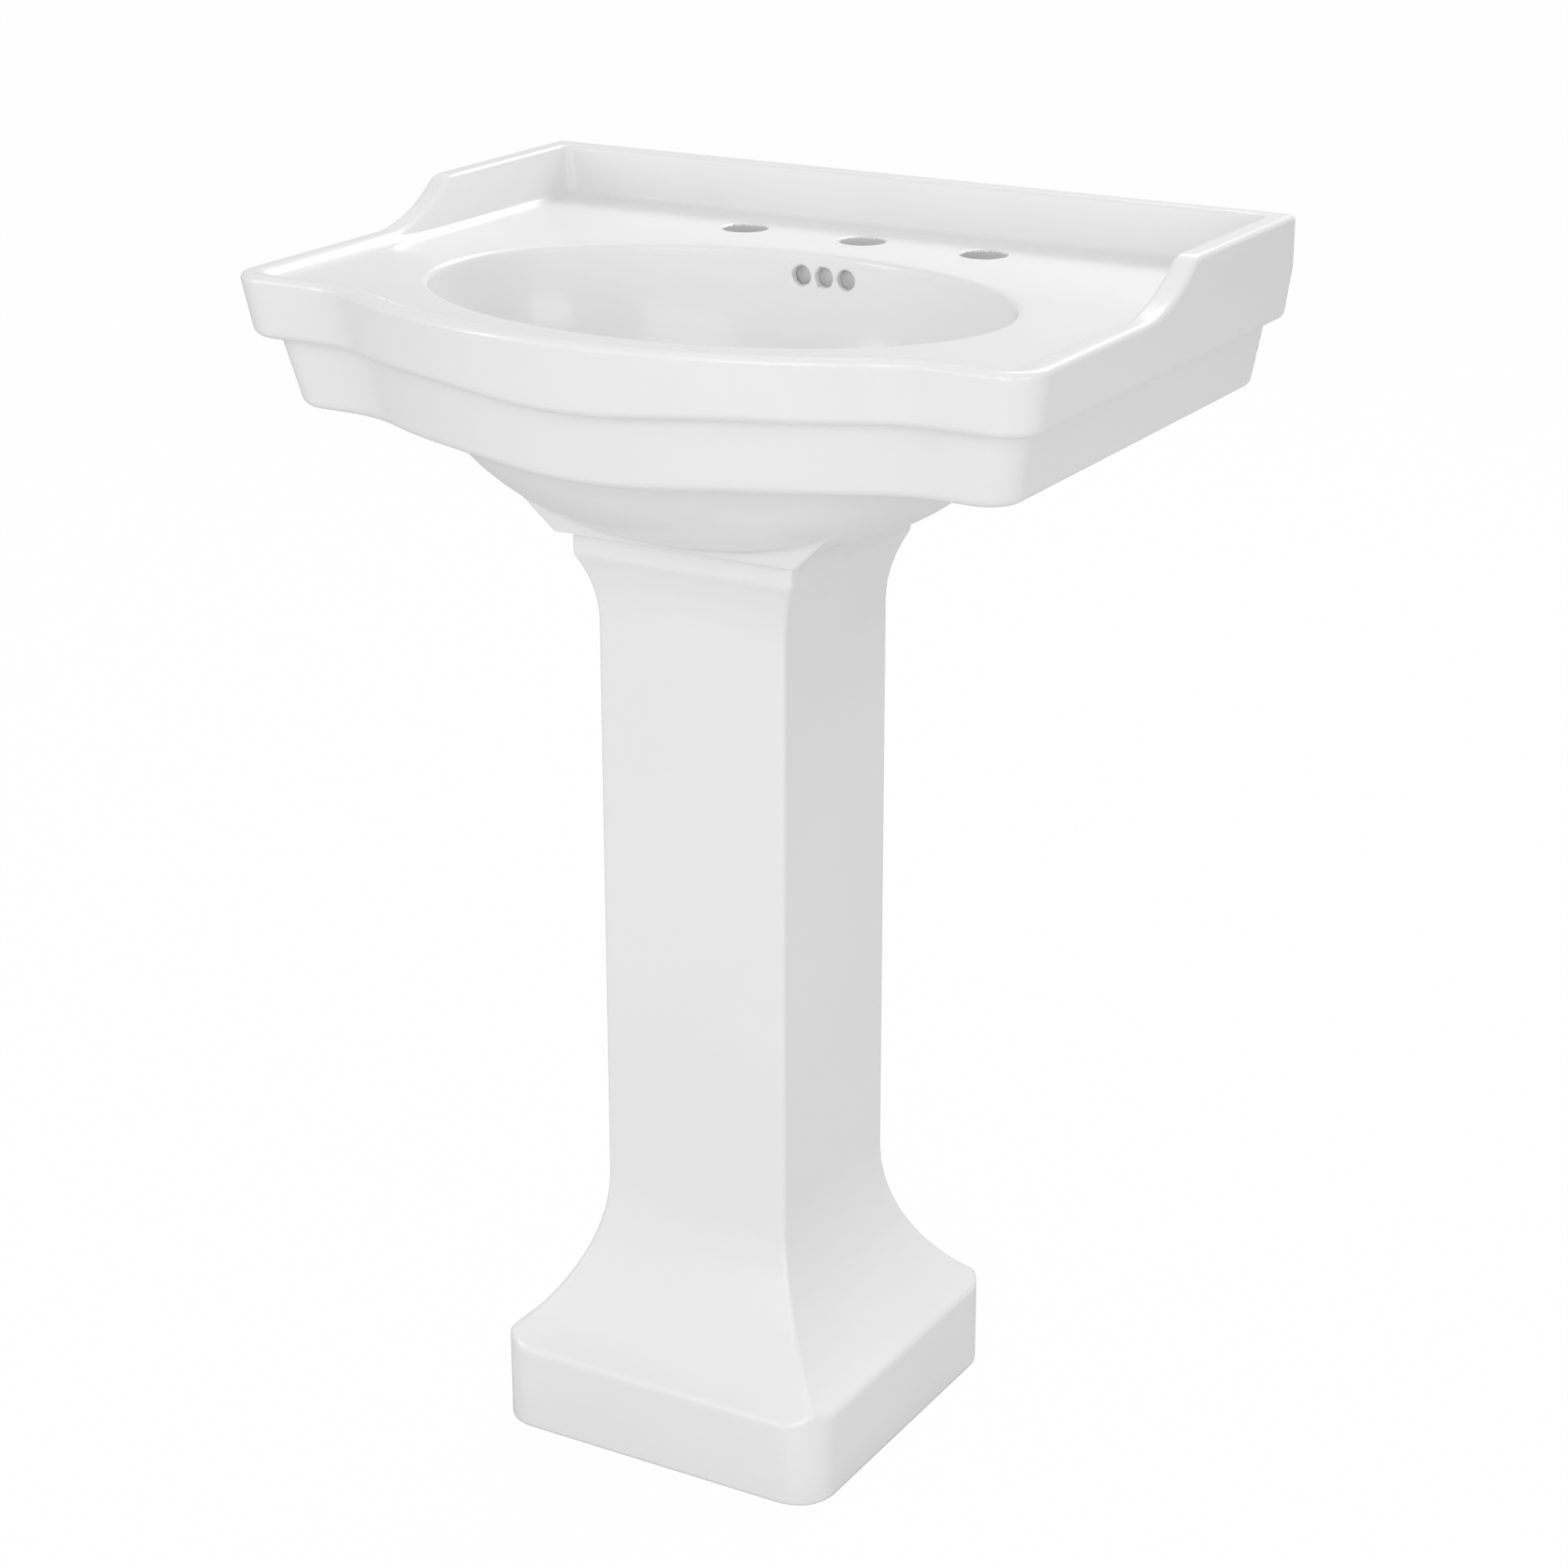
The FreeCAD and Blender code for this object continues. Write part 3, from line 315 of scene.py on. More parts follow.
def bowl(x, y, z, grow=(0.0, 0.0, 0.0)):
    """Distance outside the bowl's inner surface grown at its sides, its ends and underneath."""
    half_x = BOWL_X + grow[0]
    half_y = BOWL_Y + grow[1]
    depth = BOWL_DEPTH + grow[2]
    across = x / half_x
    along = (y - DRAIN_LINE) / half_y
    down = np.maximum(DECK_TOP - z, 0) / depth
    spread = across**2 + along**2 + TINY
    power = BOWL_FULLNESS
    size = (spread ** (power / 2) + down**power) ** (1 / power)
    ring = spread ** (power / 2 - 1)
    slope_x = ring * across / half_x
    slope_y = ring * along / half_y
    slope_z = down ** (power - 1) / depth
    slope = np.sqrt(slope_x**2 + slope_y**2 + slope_z**2)
    return (size - 1) * size ** (power - 1) / (slope + TINY)


def neck(x, y, z, wall):
    """The tapering square neck, drawn in by wall."""
    half_x = NECK_HALF - wall + NECK_SIDE_FLARE * (z - NECK_BOTTOM)
    half_y = NECK_HALF - wall + NECK_FRONT_FLARE * (z - NECK_BOTTOM)
    side = (x - half_x) / math.hypot(1, NECK_SIDE_FLARE)
    face = (np.abs(y) - half_y) / math.hypot(1, NECK_FRONT_FLARE)
    return both(side, face, NECK_RIDGE + wall / 3)


def apron(front, side, back, x, z):
    """The outside of the raised edges, the fascia and the stepped band."""
    dip = APRON_DIP / 2 * (1 + np.cos(math.pi * np.minimum(x / APRON_DIP_REACH, 1)))
    draft = FASCIA_INSET / (DRAFT_START - FASCIA_BOTTOM)
    fascia_inset = draft * np.maximum(DRAFT_START - z, 0)
    band_inset = FASCIA_INSET + LEDGE + BAND_DRAFT * (FASCIA_BOTTOM - z)
    fascia = both(plan(front, side, fascia_inset, FRONT_CORNER), back, BACK_EDGE)
    fascia = both(fascia, FASCIA_BOTTOM - dip - z, FASCIA_EDGE)
    band = both(plan(front, side, band_inset, BAND_CORNER), back, BACK_EDGE)
    band = both(band, BAND_BOTTOM - dip - z, BAND_EDGE)
    return either(fascia, band, LEDGE_COVE)


def recess(front, side, y, z):
    """The sunk deck inside the raised edges. Its walls lean out, most of all behind the low front lip."""
    wing = blend_in(y, *LIP_TO_WING)
    foot = LIP_FOOT + (WING_BASE - LIP_FOOT) * wing
    head = LIP_HEAD + (WING_HEAD - LIP_HEAD) * wing
    height = rim_level(y) - DECK_TOP
    inset = foot + (head - foot) * np.clip((z - DECK_TOP) / height, -1, 1.5)
    lean = np.hypot(1, (foot - head) / height)
    walls = plan(front, side, inset, RECESS_CORNER) / lean
    splash = y - (WALL_FACE - SPLASH_THICKNESS) - SPLASH_LEAN * (z - DECK_TOP)
    return both(both(walls, splash, SPLASH_CORNER), DECK_TOP - z, DECK_COVE)


def skirt_cavity(front, side, y, z):
    """The open underside between the skirt and the bowl."""
    back = y - (WALL_FACE - SKIRT_WALL)
    corner = BAND_CORNER - SKIRT_WALL
    step = FASCIA_BOTTOM + SKIRT_WALL
    low_inset = FASCIA_INSET + LEDGE + SKIRT_WALL + BAND_DRAFT * (FASCIA_BOTTOM - z)
    low = both(plan(front, side, low_inset, corner), back, CAVITY_CORNER)
    low = both(low, z - step, CAVITY_STEP_EDGE)
    high = both(plan(front, side, FASCIA_INSET + SKIRT_WALL, corner), back, CAVITY_CORNER)
    high = both(high, step - CAVITY_OVERLAP - z, CAVITY_STEP_EDGE / 2)
    high = both(high, z - (DECK_TOP - DECK_THICKNESS), CAVITY_TOP_COVE)
    return either(low, high, CAVITY_STEP_EDGE)


def faucet_distance(x, y):
    """Distance in plan from the nearest faucet hole's axis."""
    return np.minimum(np.hypot(x, y - FAUCET_LINE), np.hypot(x - FAUCET_PITCH, y - FAUCET_LINE))


def overflow_passage(x, y, z):
    """The hollow behind the bowl that leads from the overflow holes down to the drain."""
    back = OVERFLOW_WALL + OVERFLOW_GAP - PASSAGE_STEP * blend_in(z, *PASSAGE_STEP_LEVELS)
    hollow = both(bowl(x, y, z, (back,) * 3), -bowl(x, y, z, (OVERFLOW_WALL,) * 3), PASSAGE_EDGE)
    hollow = both(both(hollow, x - OVERFLOW_HALF, PASSAGE_SIDE), z - OVERFLOW_TOP, PASSAGE_TOP)
    return np.maximum(hollow, DRAIN_LINE - y)


def overflow_holes(x, y, z):
    """The three short bores from the bowl into the overflow passage."""
    axis = np.minimum(np.hypot(x, z - OVERFLOW_LEVEL), np.hypot(x - OVERFLOW_PITCH, z - OVERFLOW_LEVEL))
    half = OVERFLOW_BORE / 2
    end = DRAIN_LINE + BOWL_Y + 1.5 * OVERFLOW_WALL
    return np.maximum(axis - OVERFLOW_HOLE, np.abs(y - end + half) - half)


def wall_bolt_holes(x, y, z):
    """The bores through the basin's back for the bolts into the wall."""
    spacing = WALL_BOLTS["dims"]["spacing_x_mm"]
    level = WALL_BOLTS["pos_m"][2] / MM
    axis = np.hypot(x - spacing / 2, z - level) - WALL_BOLTS["dims"]["hole_r_mm"]
    return np.maximum(axis, WALL_FACE - 3 * SKIRT_WALL - y)


def basin_field(x, y, z):
    """Distance outside the basin casting."""
    x = np.abs(x)
    front = bow(x, y)
    side = x - HALF_WIDTH
    inside_deck = DECK_TOP - DECK_THICKNESS / 2
    body = both(apron(front, side, y - WALL_FACE, x, z), above_rim(y, z), RIM_EDGE)
    body = minus(body, recess(front, side, y, z), RECESS_EDGE)
    body = minus(body, skirt_cavity(front, side, y, z), SKIRT_EDGE)
    rib_grow = 2 * OVERFLOW_WALL + OVERFLOW_GAP
    rib = both(bowl(x, y, z, (rib_grow,) * 3), x - OVERFLOW_HALF - OVERFLOW_WALL, RIB_EDGE)
    rib = both(rib, DRAIN_LINE - y, RIB_FRONT_EDGE)
    from_drain = np.hypot(x, y - DRAIN_LINE)
    boss_half = BOSS_HEIGHT / 2
    boss = both(from_drain - BOSS_RADIUS, np.abs(z - BOSS_BOTTOM - boss_half) - boss_half, BOSS_EDGE)
    dome = either(either(bowl(x, y, z, SHELL), rib, DOME_COVE), boss, DOME_COVE)
    funnel = both(neck(x, y, z, 0.0), NECK_BOTTOM - z, NECK_EDGE)
    funnel = minus(funnel, neck(x, y, z, NECK_WALL), NECK_INNER_EDGE)
    under = np.maximum(either(dome, funnel, NECK_COVE), z - inside_deck)
    casting = either(body, under, UNDER_DECK_COVE)
    casting = minus(casting, bowl(x, y, z), BOWL_EDGE)
    casting = minus(casting, overflow_passage(x, y, z), BORE_EDGE)
    seat = both(from_drain - DRAIN_SEAT_RADIUS, DRAIN_SEAT - z, SEAT_COVE)
    casting = minus(casting, seat, SEAT_EDGE)
    casting = minus(casting, from_drain - DRAIN_HOLE, BORE_EDGE)
    casting = minus(casting, faucet_distance(x, y) - FAUCET_RADIUS, FAUCET_EDGE)
    casting = minus(casting, overflow_holes(x, y, z), OVERFLOW_EDGE)
    return minus(casting, wall_bolt_holes(x, y, z), BORE_EDGE)


def flared(across, z, half, plinth):
    """The pedestal's side view: plinth, concave foot, plain shaft and concave capital with its band."""
    band = half + CAPITAL_SWEEP - math.sqrt(CAPITAL_SWEEP**2 - (CAPITAL_END - CAPITAL_START) ** 2)
    foot = FOOT_SWEEP - np.hypot(across - half - FOOT_SWEEP, z - FOOT_START)
    capital = CAPITAL_SWEEP - np.hypot(across - half - CAPITAL_SWEEP, z - CAPITAL_START)
    shaft = across - half
    curve = np.where(z < FOOT_START, foot, np.where(z > CAPITAL_START, capital, shaft))
    side = np.where(z < SHAFT_MIDDLE, across - plinth, across - band)
    return curve, side


def pedestal_form(x, y, z, wall, ridge, edge):
    """The pedestal's form drawn in by wall: two side views crossed, with the plinth's round corners."""
    curve_x, side_x = flared(x, z, COLUMN_X, PLINTH_X)
    curve_y, side_y = flared(np.abs(y), z, COLUMN_Y, PLINTH_Y)
    curves = both(curve_x + wall, curve_y + wall, ridge)
    corner = np.where(z < SHAFT_MIDDLE, PLINTH_CORNER - wall, ridge)
    sides = both(side_x + wall, side_y + wall, corner)
    return both(curves, sides, edge)


def pedestal_field(x, y, z):
    """Distance outside the pedestal casting."""
    x = np.abs(x)
    edge = np.where(z > SHAFT_MIDDLE, CAPITAL_EDGE, PLINTH_EDGE)
    outside = pedestal_form(x, y, z, 0.0, PEDESTAL_RIDGE, edge)
    outside = both(both(outside, z - PEDESTAL_TOP, CAPITAL_EDGE), -z, FOOT_EDGE)
    inside = pedestal_form(x, y, z, PEDESTAL_WALL, INNER_RIDGE, INNER_EDGE)
    shell = minus(outside, inside, FOOT_EDGE)
    from_screw = np.hypot(x - LUG_X, y - LUG_Y)
    lug = both(from_screw - PLINTH_CORNER, z - LUG_TOP, LUG_EDGE)
    shell = either(shell, np.maximum(lug, outside), LUG_EDGE)
    slot = np.maximum(x - SLOT_HALF, COLUMN_Y / 2 - y)
    shell = minus(shell, slot, SLOT_EDGE)
    return minus(shell, from_screw - LUG_HOLE, BORE_EDGE)


def basin_bare_and_shaded(x, y, z):
    """The unglazed underside of the deck, skirt's inside, faucet holes' walls and face at the wall. Their
    grey bare china is also painted shade in these hollows.
    """
    x = np.abs(x)
    cavity = np.abs(skirt_cavity(bow(x, y), x - HALF_WIDTH, y, z))
    # Painted shade: the skirt's cavity and the faucet holes' walls get the greyer bare china.
    bare_shaded_cavity = (cavity < CAVITY_SKIN) & (bowl(x, y, z, SHELL) > BOWL_CLEARANCE)
    bare_shaded_hole = (faucet_distance(x, y) < FAUCET_RADIUS + HOLE_SKIN) & (z < DECK_TOP - HOLE_GLAZE)
    return bare_shaded_cavity | (y > WALL_FACE - WALL_SKIN) | bare_shaded_hole


def pedestal_bare_and_shaded(x, y, z):
    """The unglazed inside of the pedestal and the ring that it stands on. Its grey bare china is also
    painted shade inside the pedestal.
    """
    inside = pedestal_form(np.abs(x), y, z, PEDESTAL_WALL, INNER_RIDGE, INNER_EDGE)
    # Painted shade: the pedestal's inside gets the greyer bare china; the foot ring is really bare.
    return (np.abs(inside) < INSIDE_SKIN) | (z < FOOT_RING)


# ---------------------------------------------------------------- meshing
def gradient(field, points, step):
    """Slope of a field at the points, by central differences."""
    slopes = []
    for axis in range(3):
        ahead = points.copy()
        behind = points.copy()
        ahead[:, axis] += step
        behind[:, axis] -= step
        slopes.append((field(*ahead.T) - field(*behind.T)) / (2 * step))
    return np.stack(slopes, axis=1)


def settle(field, points, reach, rounds):
    """Moves points onto the field's zero surface, by at most reach in each round."""
    for _ in range(rounds):
        slope = gradient(field, points, SLOPE_STEP)
        steepness = np.maximum((slope**2).sum(1), LEAST_SLOPE)[:, None]
        move = -field(*points.T)[:, None] * slope / steepness
        length = np.linalg.norm(move, axis=1, keepdims=True)
        points = points + move * np.minimum(1, reach / np.maximum(length, TINY))
    return points


def agreement(field, points, faces):
    """How well each triangle's direction agrees with the field's slope at its corners, from -1 to 1."""
    slopes = gradient(field, points, SHADE_STEP)
    slopes /= np.maximum(np.linalg.norm(slopes, axis=1, keepdims=True), TINY)
    first, second, third = (points[faces[:, k]] for k in range(3))
    facing = np.cross(second - first, third - first)
    facing /= np.maximum(np.linalg.norm(facing, axis=1, keepdims=True), TINY_AREA)
    return (facing * slopes[faces].mean(1)).sum(1)


def neighbour_middles(points, faces):
    """The middle of each point's neighbours."""
    starts = faces[:, (0, 1, 2, 1, 2, 0)].ravel()
    ends = faces[:, (1, 2, 0, 0, 1, 2)].ravel()
    sums = [np.bincount(starts, points[ends, axis], len(points)) for axis in range(3)]
    return np.stack(sums, axis=1) / np.bincount(starts, minlength=len(points))[:, None]


def untangle(field, points, faces):
    """Evens out the mesh along the surface, then draws in the points of folded triangles."""
    for _ in range(EVENING_ROUNDS):
        halfway = (points + neighbour_middles(points, faces)) / 2
        points = settle(field, halfway, 1.0, SETTLE_ROUNDS - 1)
    for _ in range(UNTANGLE_ROUNDS):
        folded = np.unique(faces[agreement(field, points, faces) < FOLDED])
        middles = neighbour_middles(points, faces)[folded]
        drawn_in = FOLD_KEPT * points[folded] + (1 - FOLD_KEPT) * middles
        points[folded] = settle(field, drawn_in, 1.0, SETTLE_ROUNDS)
    return points


def corner_slopes(field, points, faces):
    """Shading directions at the triangles' corners.

    A large triangle's are read a little way into it, so that a rounded edge that it reaches doesn't
    shade its flat.
    """
    corners = points[faces]
    inward = corners.mean(1, keepdims=True) - corners
    length = np.linalg.norm(inward, axis=2, keepdims=True)
    shift = inward / np.maximum(length, TINY) * np.clip(length - SHADE_FROM, 0, SHADE_REACH)
    slopes = gradient(field, (corners + shift).reshape(-1, 3), SHADE_STEP)
    return slopes / np.maximum(np.linalg.norm(slopes, axis=1, keepdims=True), TINY)


def new_piece(name, mesh):
    """The mesh as an object in the scene."""
    thing = bpy.data.objects.new(name, mesh)
    scene.collection.objects.link(thing)
    return thing


def china_mesh(name, field, bare_and_shaded, low, high, cell):
    """A closed smooth mesh of a left-right symmetric field, with fewer faces where it is nearly flat.

    Its second material, grey bare china that also paints shade into holes and hollows, goes where the bare
    field says that no glaze was put.
    """
    margin = 3 * cell
    half = int(math.ceil((high[0] + margin) / cell))
    deep, tall = np.ceil((high - low + 2 * margin)[1:] / cell).astype(int)
    xs = ((np.arange(half) + 0.5) * cell).astype(np.float32)
    ys = (low[1] - margin + np.arange(deep) * cell).astype(np.float32)
    zs = (low[2] - margin + np.arange(tall) * cell).astype(np.float32)
    right = field(xs[:, None, None], ys[None, :, None], zs[None, None, :]).astype(np.float32)
    whole = np.ascontiguousarray(np.concatenate([right[::-1], right]))
    grid = openvdb.FloatGrid(margin)
    grid.copyFromArray(np.clip(whole, -margin, margin))
    points, triangles, quads = grid.convertToPolygons(isovalue=0.0, adaptivity=MERGING)
    points = points.astype(float) * cell + np.array([(0.5 - half) * cell, ys[0], zs[0]])
    faces = np.concatenate([triangles, quads[:, (0, 1, 2)], quads[:, (0, 2, 3)]]).astype(int)
    points = settle(field, points, SETTLE_REACH * cell, SETTLE_ROUNDS)
    points = np.clip(untangle(field, points, faces), low, high)
    mesh = bpy.data.meshes.new(name)
    mesh.from_pydata((points * MM).tolist(), [], faces.tolist())
    mesh.polygons.foreach_set("use_smooth", [True] * len(faces))
    # The second material is grey bare china, which also paints shade into holes and hollows.
    mesh.polygons.foreach_set("material_index", bare_and_shaded(*points[faces].mean(1).T).astype(np.int32))
    mesh.normals_split_custom_set(corner_slopes(field, points, faces).tolist())
    return new_piece(name, mesh)


# ---------------------------------------------------------------- swept shapes
def swept_mesh(name, rings, closed, sharp):
    """A tube through rings of points, as a loop of rings or with flat ends."""
    steps = len(rings[0])
    count = len(rings)
    faces = []
    for k in range(count if closed else count - 1):
        start, after = k * steps, (k + 1) % count * steps
        for j in range(steps):
            turned = (j + 1) % steps
            faces.append((start + j, after + j, after + turned, start + turned))
    if not closed:
        faces.append(tuple(range(steps)))
        faces.append(tuple(reversed(range((count - 1) * steps, count * steps))))
    mesh = bpy.data.meshes.new(name)
    mesh.from_pydata((np.array(rings).reshape(-1, 3) * MM).tolist(), [], faces)
    mesh.polygons.foreach_set("use_smooth", [True] * len(faces))
    mesh.set_sharp_from_angle(angle=sharp)
    return new_piece(name, mesh)


def on_drain_axis(radius, angle, level):
    """A point at that radius and angle round the drain's axis."""
    return radius * math.cos(angle), DRAIN_LINE + radius * math.sin(angle), level


def plug_dome():
    """The plug's cap as one smooth dome that closes over the stem's head."""
    low, high = box_mm("plug_cap")
    radius = (high[0] - low[0]) / 2
    under, head = low[2], high[2] + HEAD_GAP
    shoulder = under + CAP_RIM
    crown = high[2] + DOME_RISE - shoulder
    profile = [(radius, shoulder - CAP_SIDE), (radius, under + CAP_BEVEL), (radius - CAP_BEVEL, under)]
    profile += [(STEM_BORE, under), (STEM_BORE, head), (PIN_HOLE, head)]
    for lean in np.linspace(DOME_START, math.pi / 2, CAP_STEPS):
        profile.append((radius * math.sin(lean), shoulder + crown * math.cos(lean)))
    turn = np.arange(ROUND_STEPS) * 2 * math.pi / ROUND_STEPS
    rings = [[on_drain_axis(r, angle, z) for angle in turn] for r, z in profile]
    return swept_mesh("plug_dome", rings, True, CAP_SHARP)


def coil_spring():
    """The plug's spring, standing as the raised plug leaves it."""
    low, high = box_mm("plug_spring")
    reach = (high[0] - low[0]) / 2 - SPRING_WIRE
    round_wire = np.arange(WIRE_STEPS) * 2 * math.pi / WIRE_STEPS
    rings = []
    for along in np.linspace(0, 1, SPRING_STEPS):
        turn = along * SPRING_TURNS * 2 * math.pi
        level = low[2] + SPRING_WIRE + along * (high[2] - low[2] - 2 * SPRING_WIRE)
        out = reach + SPRING_WIRE * np.cos(round_wire)
        up = level + SPRING_WIRE * np.sin(round_wire)
        rings.append([on_drain_axis(r, turn, z) for r, z in zip(out, up)])
    return swept_mesh("coil_spring", rings, False, WIRE_SHARP)


# ---------------------------------------------------------------- materials
def material(name, colour, metallic, roughness, **inputs):
    """A new material. Further shader inputs are named with _ for each space."""
    made = bpy.data.materials.new(name)
    made.use_nodes = True
    shader = made.node_tree.nodes["Principled BSDF"]
    shader.inputs["Base Color"].default_value = (*colour, 1)
    shader.inputs["Metallic"].default_value = metallic
    shader.inputs["Roughness"].default_value = roughness
    for key, value in inputs.items():
        shader.inputs[key.replace("_", " ")].default_value = value
    return made


def noise(made, scale, detail, stretch=(1, 1, 1)):
    """A noise texture in the object's own space."""
    nodes, links = made.node_tree.nodes, made.node_tree.links
    place = nodes.new("ShaderNodeTexCoord")
    mapping = nodes.new("ShaderNodeMapping")
    mapping.inputs["Scale"].default_value = stretch
    texture = nodes.new("ShaderNodeTexNoise")
    texture.inputs["Scale"].default_value = scale
    texture.inputs["Detail"].default_value = detail
    links.new(place.outputs["Object"], mapping.inputs["Vector"])
    links.new(mapping.outputs["Vector"], texture.inputs["Vector"])
    return texture.outputs["Fac"]


def ramp(made, value, *stops):
    """A colour ramp of (place, colour) stops."""
    node = made.node_tree.nodes.new("ShaderNodeValToRGB")
    while len(node.color_ramp.elements) < len(stops):
        node.color_ramp.elements.new(0.5)
    for element, (place, colour) in zip(node.color_ramp.elements, stops):
        element.position = place
        element.color = (*colour, 1)
    made.node_tree.links.new(value, node.inputs["Fac"])
    return node.outputs["Color"]


def between(made, value, low, high):
    """The value's 0 to 1 range spread from low to high."""
    node = made.node_tree.nodes.new("ShaderNodeMapRange")
    node.inputs["To Min"].default_value = low
    node.inputs["To Max"].default_value = high
    made.node_tree.links.new(value, node.inputs["Value"])
    return node.outputs["Result"]


def feed(made, output, socket):
    """Links an output to one of the shader's sockets."""
    made.node_tree.links.new(output, made.node_tree.nodes["Principled BSDF"].inputs[socket])


def bump(made, value, strength, distance):
    """Gives the surface a relief."""
    node = made.node_tree.nodes.new("ShaderNodeBump")
    node.inputs["Strength"].default_value = strength
    node.inputs["Distance"].default_value = distance
    made.node_tree.links.new(value, node.inputs["Height"])
    feed(made, node.outputs["Normal"], "Normal")


def china():
    """White vitreous glaze: a hint of waviness and faint changes of tone."""
    coat = {"Coat_Weight": 0.5, "Coat_Roughness": 0.09}
    made = material("white_glaze", (0.87, 0.87, 0.87), 0.0, 0.3, IOR=1.5, **coat)
    tone = noise(made, scale=5.0, detail=2.0)
    feed(made, ramp(made, tone, (0.3, (0.864, 0.864, 0.864)), (0.7, (0.884, 0.884, 0.884))), "Base Color")
    feed(made, between(made, noise(made, scale=60.0, detail=3.0), 0.28, 0.34), "Roughness")
    bump(made, noise(made, scale=28.0, detail=1.0), strength=0.12, distance=0.0006)
    return made


# Painted shade: this greyer bare china is unglazed china, and its grey also darkens the faucet holes, the
# deck's underside and the pedestal's inside, where shade falls.
def bisque_and_painted_shade():
    """Bare fired china: greyer, dull and finely grained. Its grey is partly painted shade in the holes and
    hollows where it goes.
    """
    made = material("bare_china_painted_shade", (0.66, 0.655, 0.645), 0.0, 0.8)
    tone = noise(made, scale=14.0, detail=4.0)
    feed(made, ramp(made, tone, (0.3, (0.62, 0.615, 0.605)), (0.7, (0.7, 0.695, 0.685))), "Base Color")
    feed(made, between(made, noise(made, scale=90.0, detail=3.0), 0.7, 0.92), "Roughness")
    bump(made, noise(made, scale=900.0, detail=4.0), strength=0.35, distance=0.0003)
    return made


def chrome():
    """Polished plate with faint smears and a slightly uneven polish."""
    made = material("polished_chrome", (0.83, 0.84, 0.86), 1.0, 0.08)
    tone = noise(made, scale=30.0, detail=3.0)
    feed(made, ramp(made, tone, (0.3, (0.79, 0.8, 0.82)), (0.7, (0.87, 0.875, 0.89))), "Base Color")
    smears = noise(made, scale=45.0, detail=5.0, stretch=(1, 1, 0.35))
    feed(made, between(made, smears, 0.03, 0.15), "Roughness")
    bump(made, noise(made, scale=160.0, detail=2.0), strength=0.05, distance=0.0002)
    return made


def brass():
    """Bare turned brass: lathe lines round the axis and patches of dulling."""
    made = material("turned_brass", (0.74, 0.56, 0.27), 1.0, 0.3)
    tone = noise(made, scale=60.0, detail=5.0)
    feed(made, ramp(made, tone, (0.35, (0.55, 0.38, 0.17)), (0.62, (0.78, 0.6, 0.3))), "Base Color")
    feed(made, between(made, noise(made, scale=120.0, detail=4.0), 0.2, 0.42), "Roughness")
    lathe_lines = noise(made, scale=70.0, detail=2.0, stretch=(0.2, 0.2, 30.0))
    bump(made, lathe_lines, strength=0.3, distance=0.0002)
    return made


def wire():
    """Drawn spring wire: grey steel, dull in patches."""
    made = material("drawn_wire", (0.58, 0.58, 0.6), 1.0, 0.3)
    tone = noise(made, scale=150.0, detail=4.0)
    feed(made, ramp(made, tone, (0.3, (0.48, 0.48, 0.5)), (0.7, (0.66, 0.66, 0.68))), "Base Color")
    feed(made, between(made, noise(made, scale=300.0, detail=4.0), 0.22, 0.42), "Roughness")
    bump(made, noise(made, scale=700.0, detail=3.0), strength=0.2, distance=0.0001)
    return made


def rubber():
    """Black moulded rubber with a bloom of dust and a fine tooth."""
    made = material("black_rubber", (0.03, 0.03, 0.03), 0.0, 0.7, Sheen_Weight=0.15, Sheen_Roughness=0.5)
    tone = noise(made, scale=80.0, detail=5.0)
    feed(made, ramp(made, tone, (0.35, (0.022, 0.022, 0.023)), (0.75, (0.055, 0.054, 0.052))), "Base Color")
    feed(made, between(made, noise(made, scale=150.0, detail=3.0), 0.55, 0.85), "Roughness")
    bump(made, noise(made, scale=1500.0, detail=3.0), strength=0.3, distance=0.0001)
    return made


def plastic():
    """White moulded plastic washers: slightly waxy, with soft mould texture."""
    waxiness = {"Subsurface_Weight": 0.1, "Subsurface_Radius": (0.002, 0.002, 0.0018)}
    made = material("white_plastic", (0.84, 0.83, 0.79), 0.0, 0.4, **waxiness)
    tone = noise(made, scale=50.0, detail=3.0)
    feed(made, ramp(made, tone, (0.3, (0.8, 0.79, 0.74)), (0.7, (0.87, 0.86, 0.83))), "Base Color")
    feed(made, between(made, noise(made, scale=200.0, detail=3.0), 0.32, 0.5), "Roughness")
    bump(made, noise(made, scale=800.0, detail=2.0), strength=0.15, distance=0.0001)
    return made


# ---------------------------------------------------------------- the pieces
finishes = {
    "china": china(),
    "chrome": chrome(),
    "brass": brass(),
    "spring_steel": wire(),
    "black_rubber": rubber(),
    "white_plastic": plastic(),
}
for part in frame["record"]["subparts"]:
    node = frame["nodes"][part["node"]]
    for place in node.material_slots:
        place.material = finishes[part["material_slot"]]

cell = CELL
# The grey bare china is unglazed china and also painted shade in the holes and hollows.
bare_china_painted_shade = bisque_and_painted_shade()
for node, field, bare_and_shaded, low, high in (
    ("basin", basin_field, basin_bare_and_shaded, BASIN_LOW, BASIN_HIGH),
    ("pedestal", pedestal_field, pedestal_bare_and_shaded, PED_LOW, PED_HIGH),
):
    piece = china_mesh(node + "_china", field, bare_and_shaded, low, high, cell)
    piece.data.materials.append(finishes["china"])
    piece.data.materials.append(bare_china_painted_shade)
    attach(piece, "sink")
    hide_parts(node)

# ---------------------------------------------------------------- the plug's cap and its spring
dome = plug_dome()
dome.data.materials.append(finishes["chrome"])
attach(dome, "plug")
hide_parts("plug_cap")

coil = coil_spring()
coil.data.materials.append(finishes["spring_steel"])
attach(coil, "sink")
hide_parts("plug_spring")
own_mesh(coil)


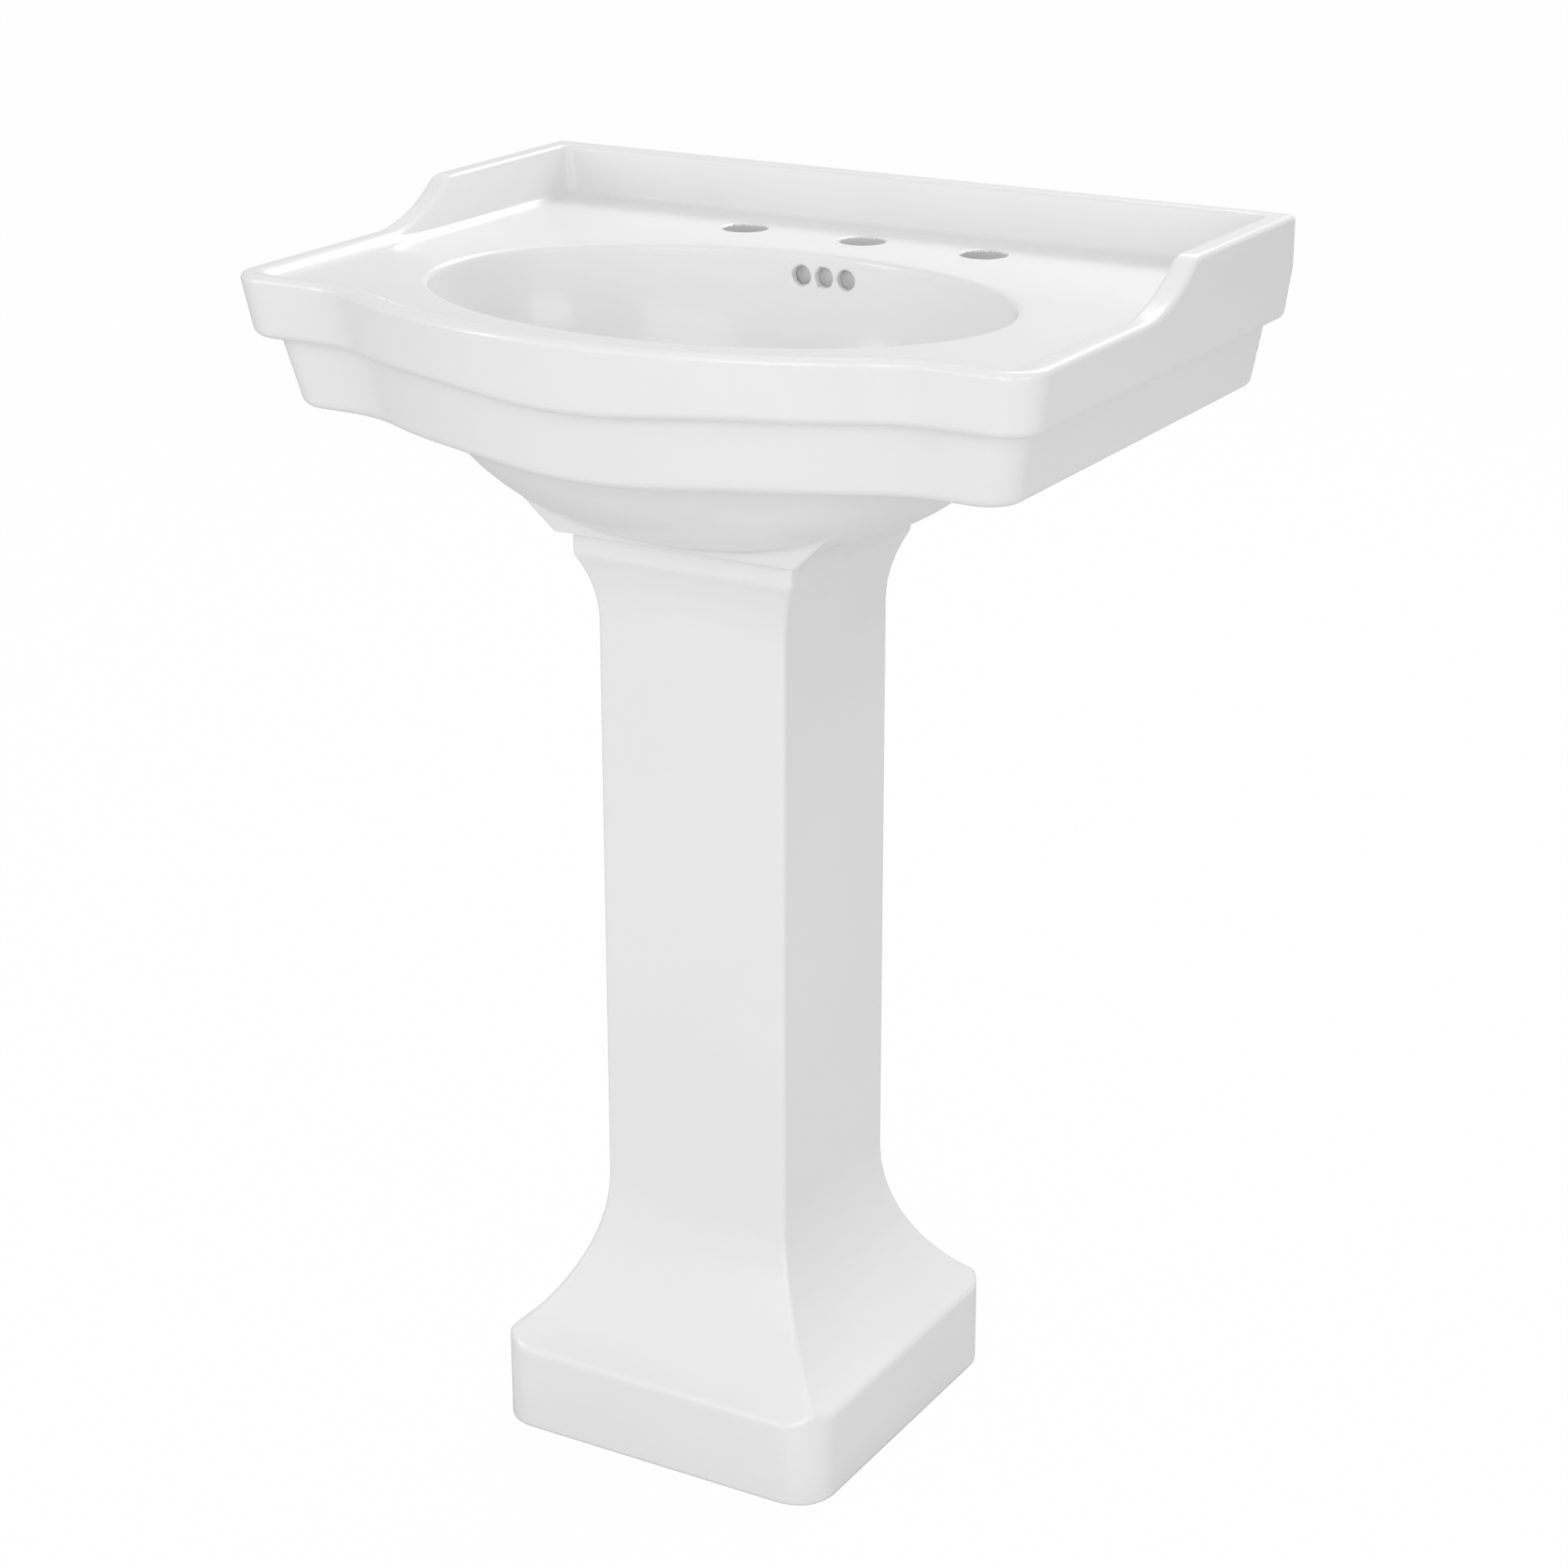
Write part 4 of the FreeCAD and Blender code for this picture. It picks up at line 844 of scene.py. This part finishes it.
# ---------------------------------------------------------------- studio, in metres and watts
def white_to_camera(tree, lit, socket, share):
    """The surface or sky as it lights the sink, but nearly plain white where the camera sees it."""
    path = tree.nodes.new("ShaderNodeLightPath")
    amount = tree.nodes.new("ShaderNodeMath")
    amount.operation = "MULTIPLY"
    amount.inputs[1].default_value = share
    white = tree.nodes.new("ShaderNodeEmission")
    mixed = tree.nodes.new("ShaderNodeMixShader")
    tree.links.new(path.outputs["Is Camera Ray"], amount.inputs[0])
    tree.links.new(amount.outputs["Value"], mixed.inputs[0])
    tree.links.new(lit, mixed.inputs[1])
    tree.links.new(white.outputs["Emission"], mixed.inputs[2])
    tree.links.new(mixed.outputs["Shader"], socket)


def softbox(name, place, aim, width, height, power):
    """A rectangular area light at place, turned towards aim."""
    light = bpy.data.lights.new(name, "AREA")
    light.shape = "RECTANGLE"
    light.size = width
    light.size_y = height
    light.energy = power
    thing = bpy.data.objects.new(name, light)
    thing.location = place
    thing.rotation_mode = "QUATERNION"
    thing.rotation_quaternion = (Vector(aim) - Vector(place)).to_track_quat("-Z", "Y")
    scene.collection.objects.link(thing)


SKY_STRENGTH = 0.61
FLOOR_REACH = 12.0
FLOOR_WHITE = 0.985
CAMERA_PLACE = (1.241284, -2.091911, 1.390301)
CAMERA_AIM = (-0.4698, 0.8138, -0.3420)
CAMERA_LENS = 80
SENSOR_WIDTH = 36

scene.view_settings.view_transform = "Standard"
world = bpy.data.worlds.new("studio")
world.use_nodes = True
scene.world = world
background = world.node_tree.nodes["Background"]
background.inputs["Color"].default_value = (1, 1, 1, 1)
background.inputs["Strength"].default_value = SKY_STRENGTH
sky_out = world.node_tree.nodes["World Output"].inputs["Surface"]
white_to_camera(world.node_tree, background.outputs["Background"], sky_out, 1.0)

floor_mesh = bpy.data.meshes.new("floor")
floor_corners = [(x * FLOOR_REACH, y * FLOOR_REACH, 0) for x, y in ((-1, -1), (1, -1), (1, 1), (-1, 1))]
floor_mesh.from_pydata(floor_corners, [], [(0, 1, 2, 3)])
floor = new_piece("floor", floor_mesh)
pale = material("floor_white", (0.6, 0.6, 0.6), 0.0, 0.9)
floor_shader = pale.node_tree.nodes["Principled BSDF"].outputs["BSDF"]
floor_out = pale.node_tree.nodes["Material Output"].inputs["Surface"]
white_to_camera(pale.node_tree, floor_shader, floor_out, FLOOR_WHITE)
floor.data.materials.append(pale)

softbox("key", (0.5, -3.2, 2.0), aim=(0, 0, 0.75), width=1.8, height=1.8, power=14)
softbox("low_front", (0.9, -3.0, 0.7), aim=(0, 0, 0.4), width=1.4, height=1.0, power=10.5)
softbox("band", (-1.1, -2.8, 0.9), aim=(0, 0, 0.85), width=0.35, height=1.4, power=2.5)
softbox("strip", (-2.2, -2.0, 1.6), aim=(0, 0, 0.8), width=0.5, height=1.8, power=10)
softbox("right", (3.0, -1.2, 1.2), aim=(0, 0, 0.6), width=1.4, height=1.8, power=16)
softbox("top", (0.0, 0.0, 3.2), aim=(0, 0, 0.8), width=2.4, height=2.4, power=5)
softbox("behind", (0.0, 2.6, 3.0), aim=(0, 0, 0.8), width=2.0, height=1.0, power=50)

camera = bpy.data.objects.new("camera", bpy.data.cameras.new("camera"))
camera.data.lens = CAMERA_LENS
camera.data.sensor_width = SENSOR_WIDTH
camera.location = CAMERA_PLACE
camera.rotation_mode = "QUATERNION"
camera.rotation_quaternion = Vector(CAMERA_AIM).to_track_quat("-Z", "Y")
scene.collection.objects.link(camera)
bpy.context.scene.camera = camera
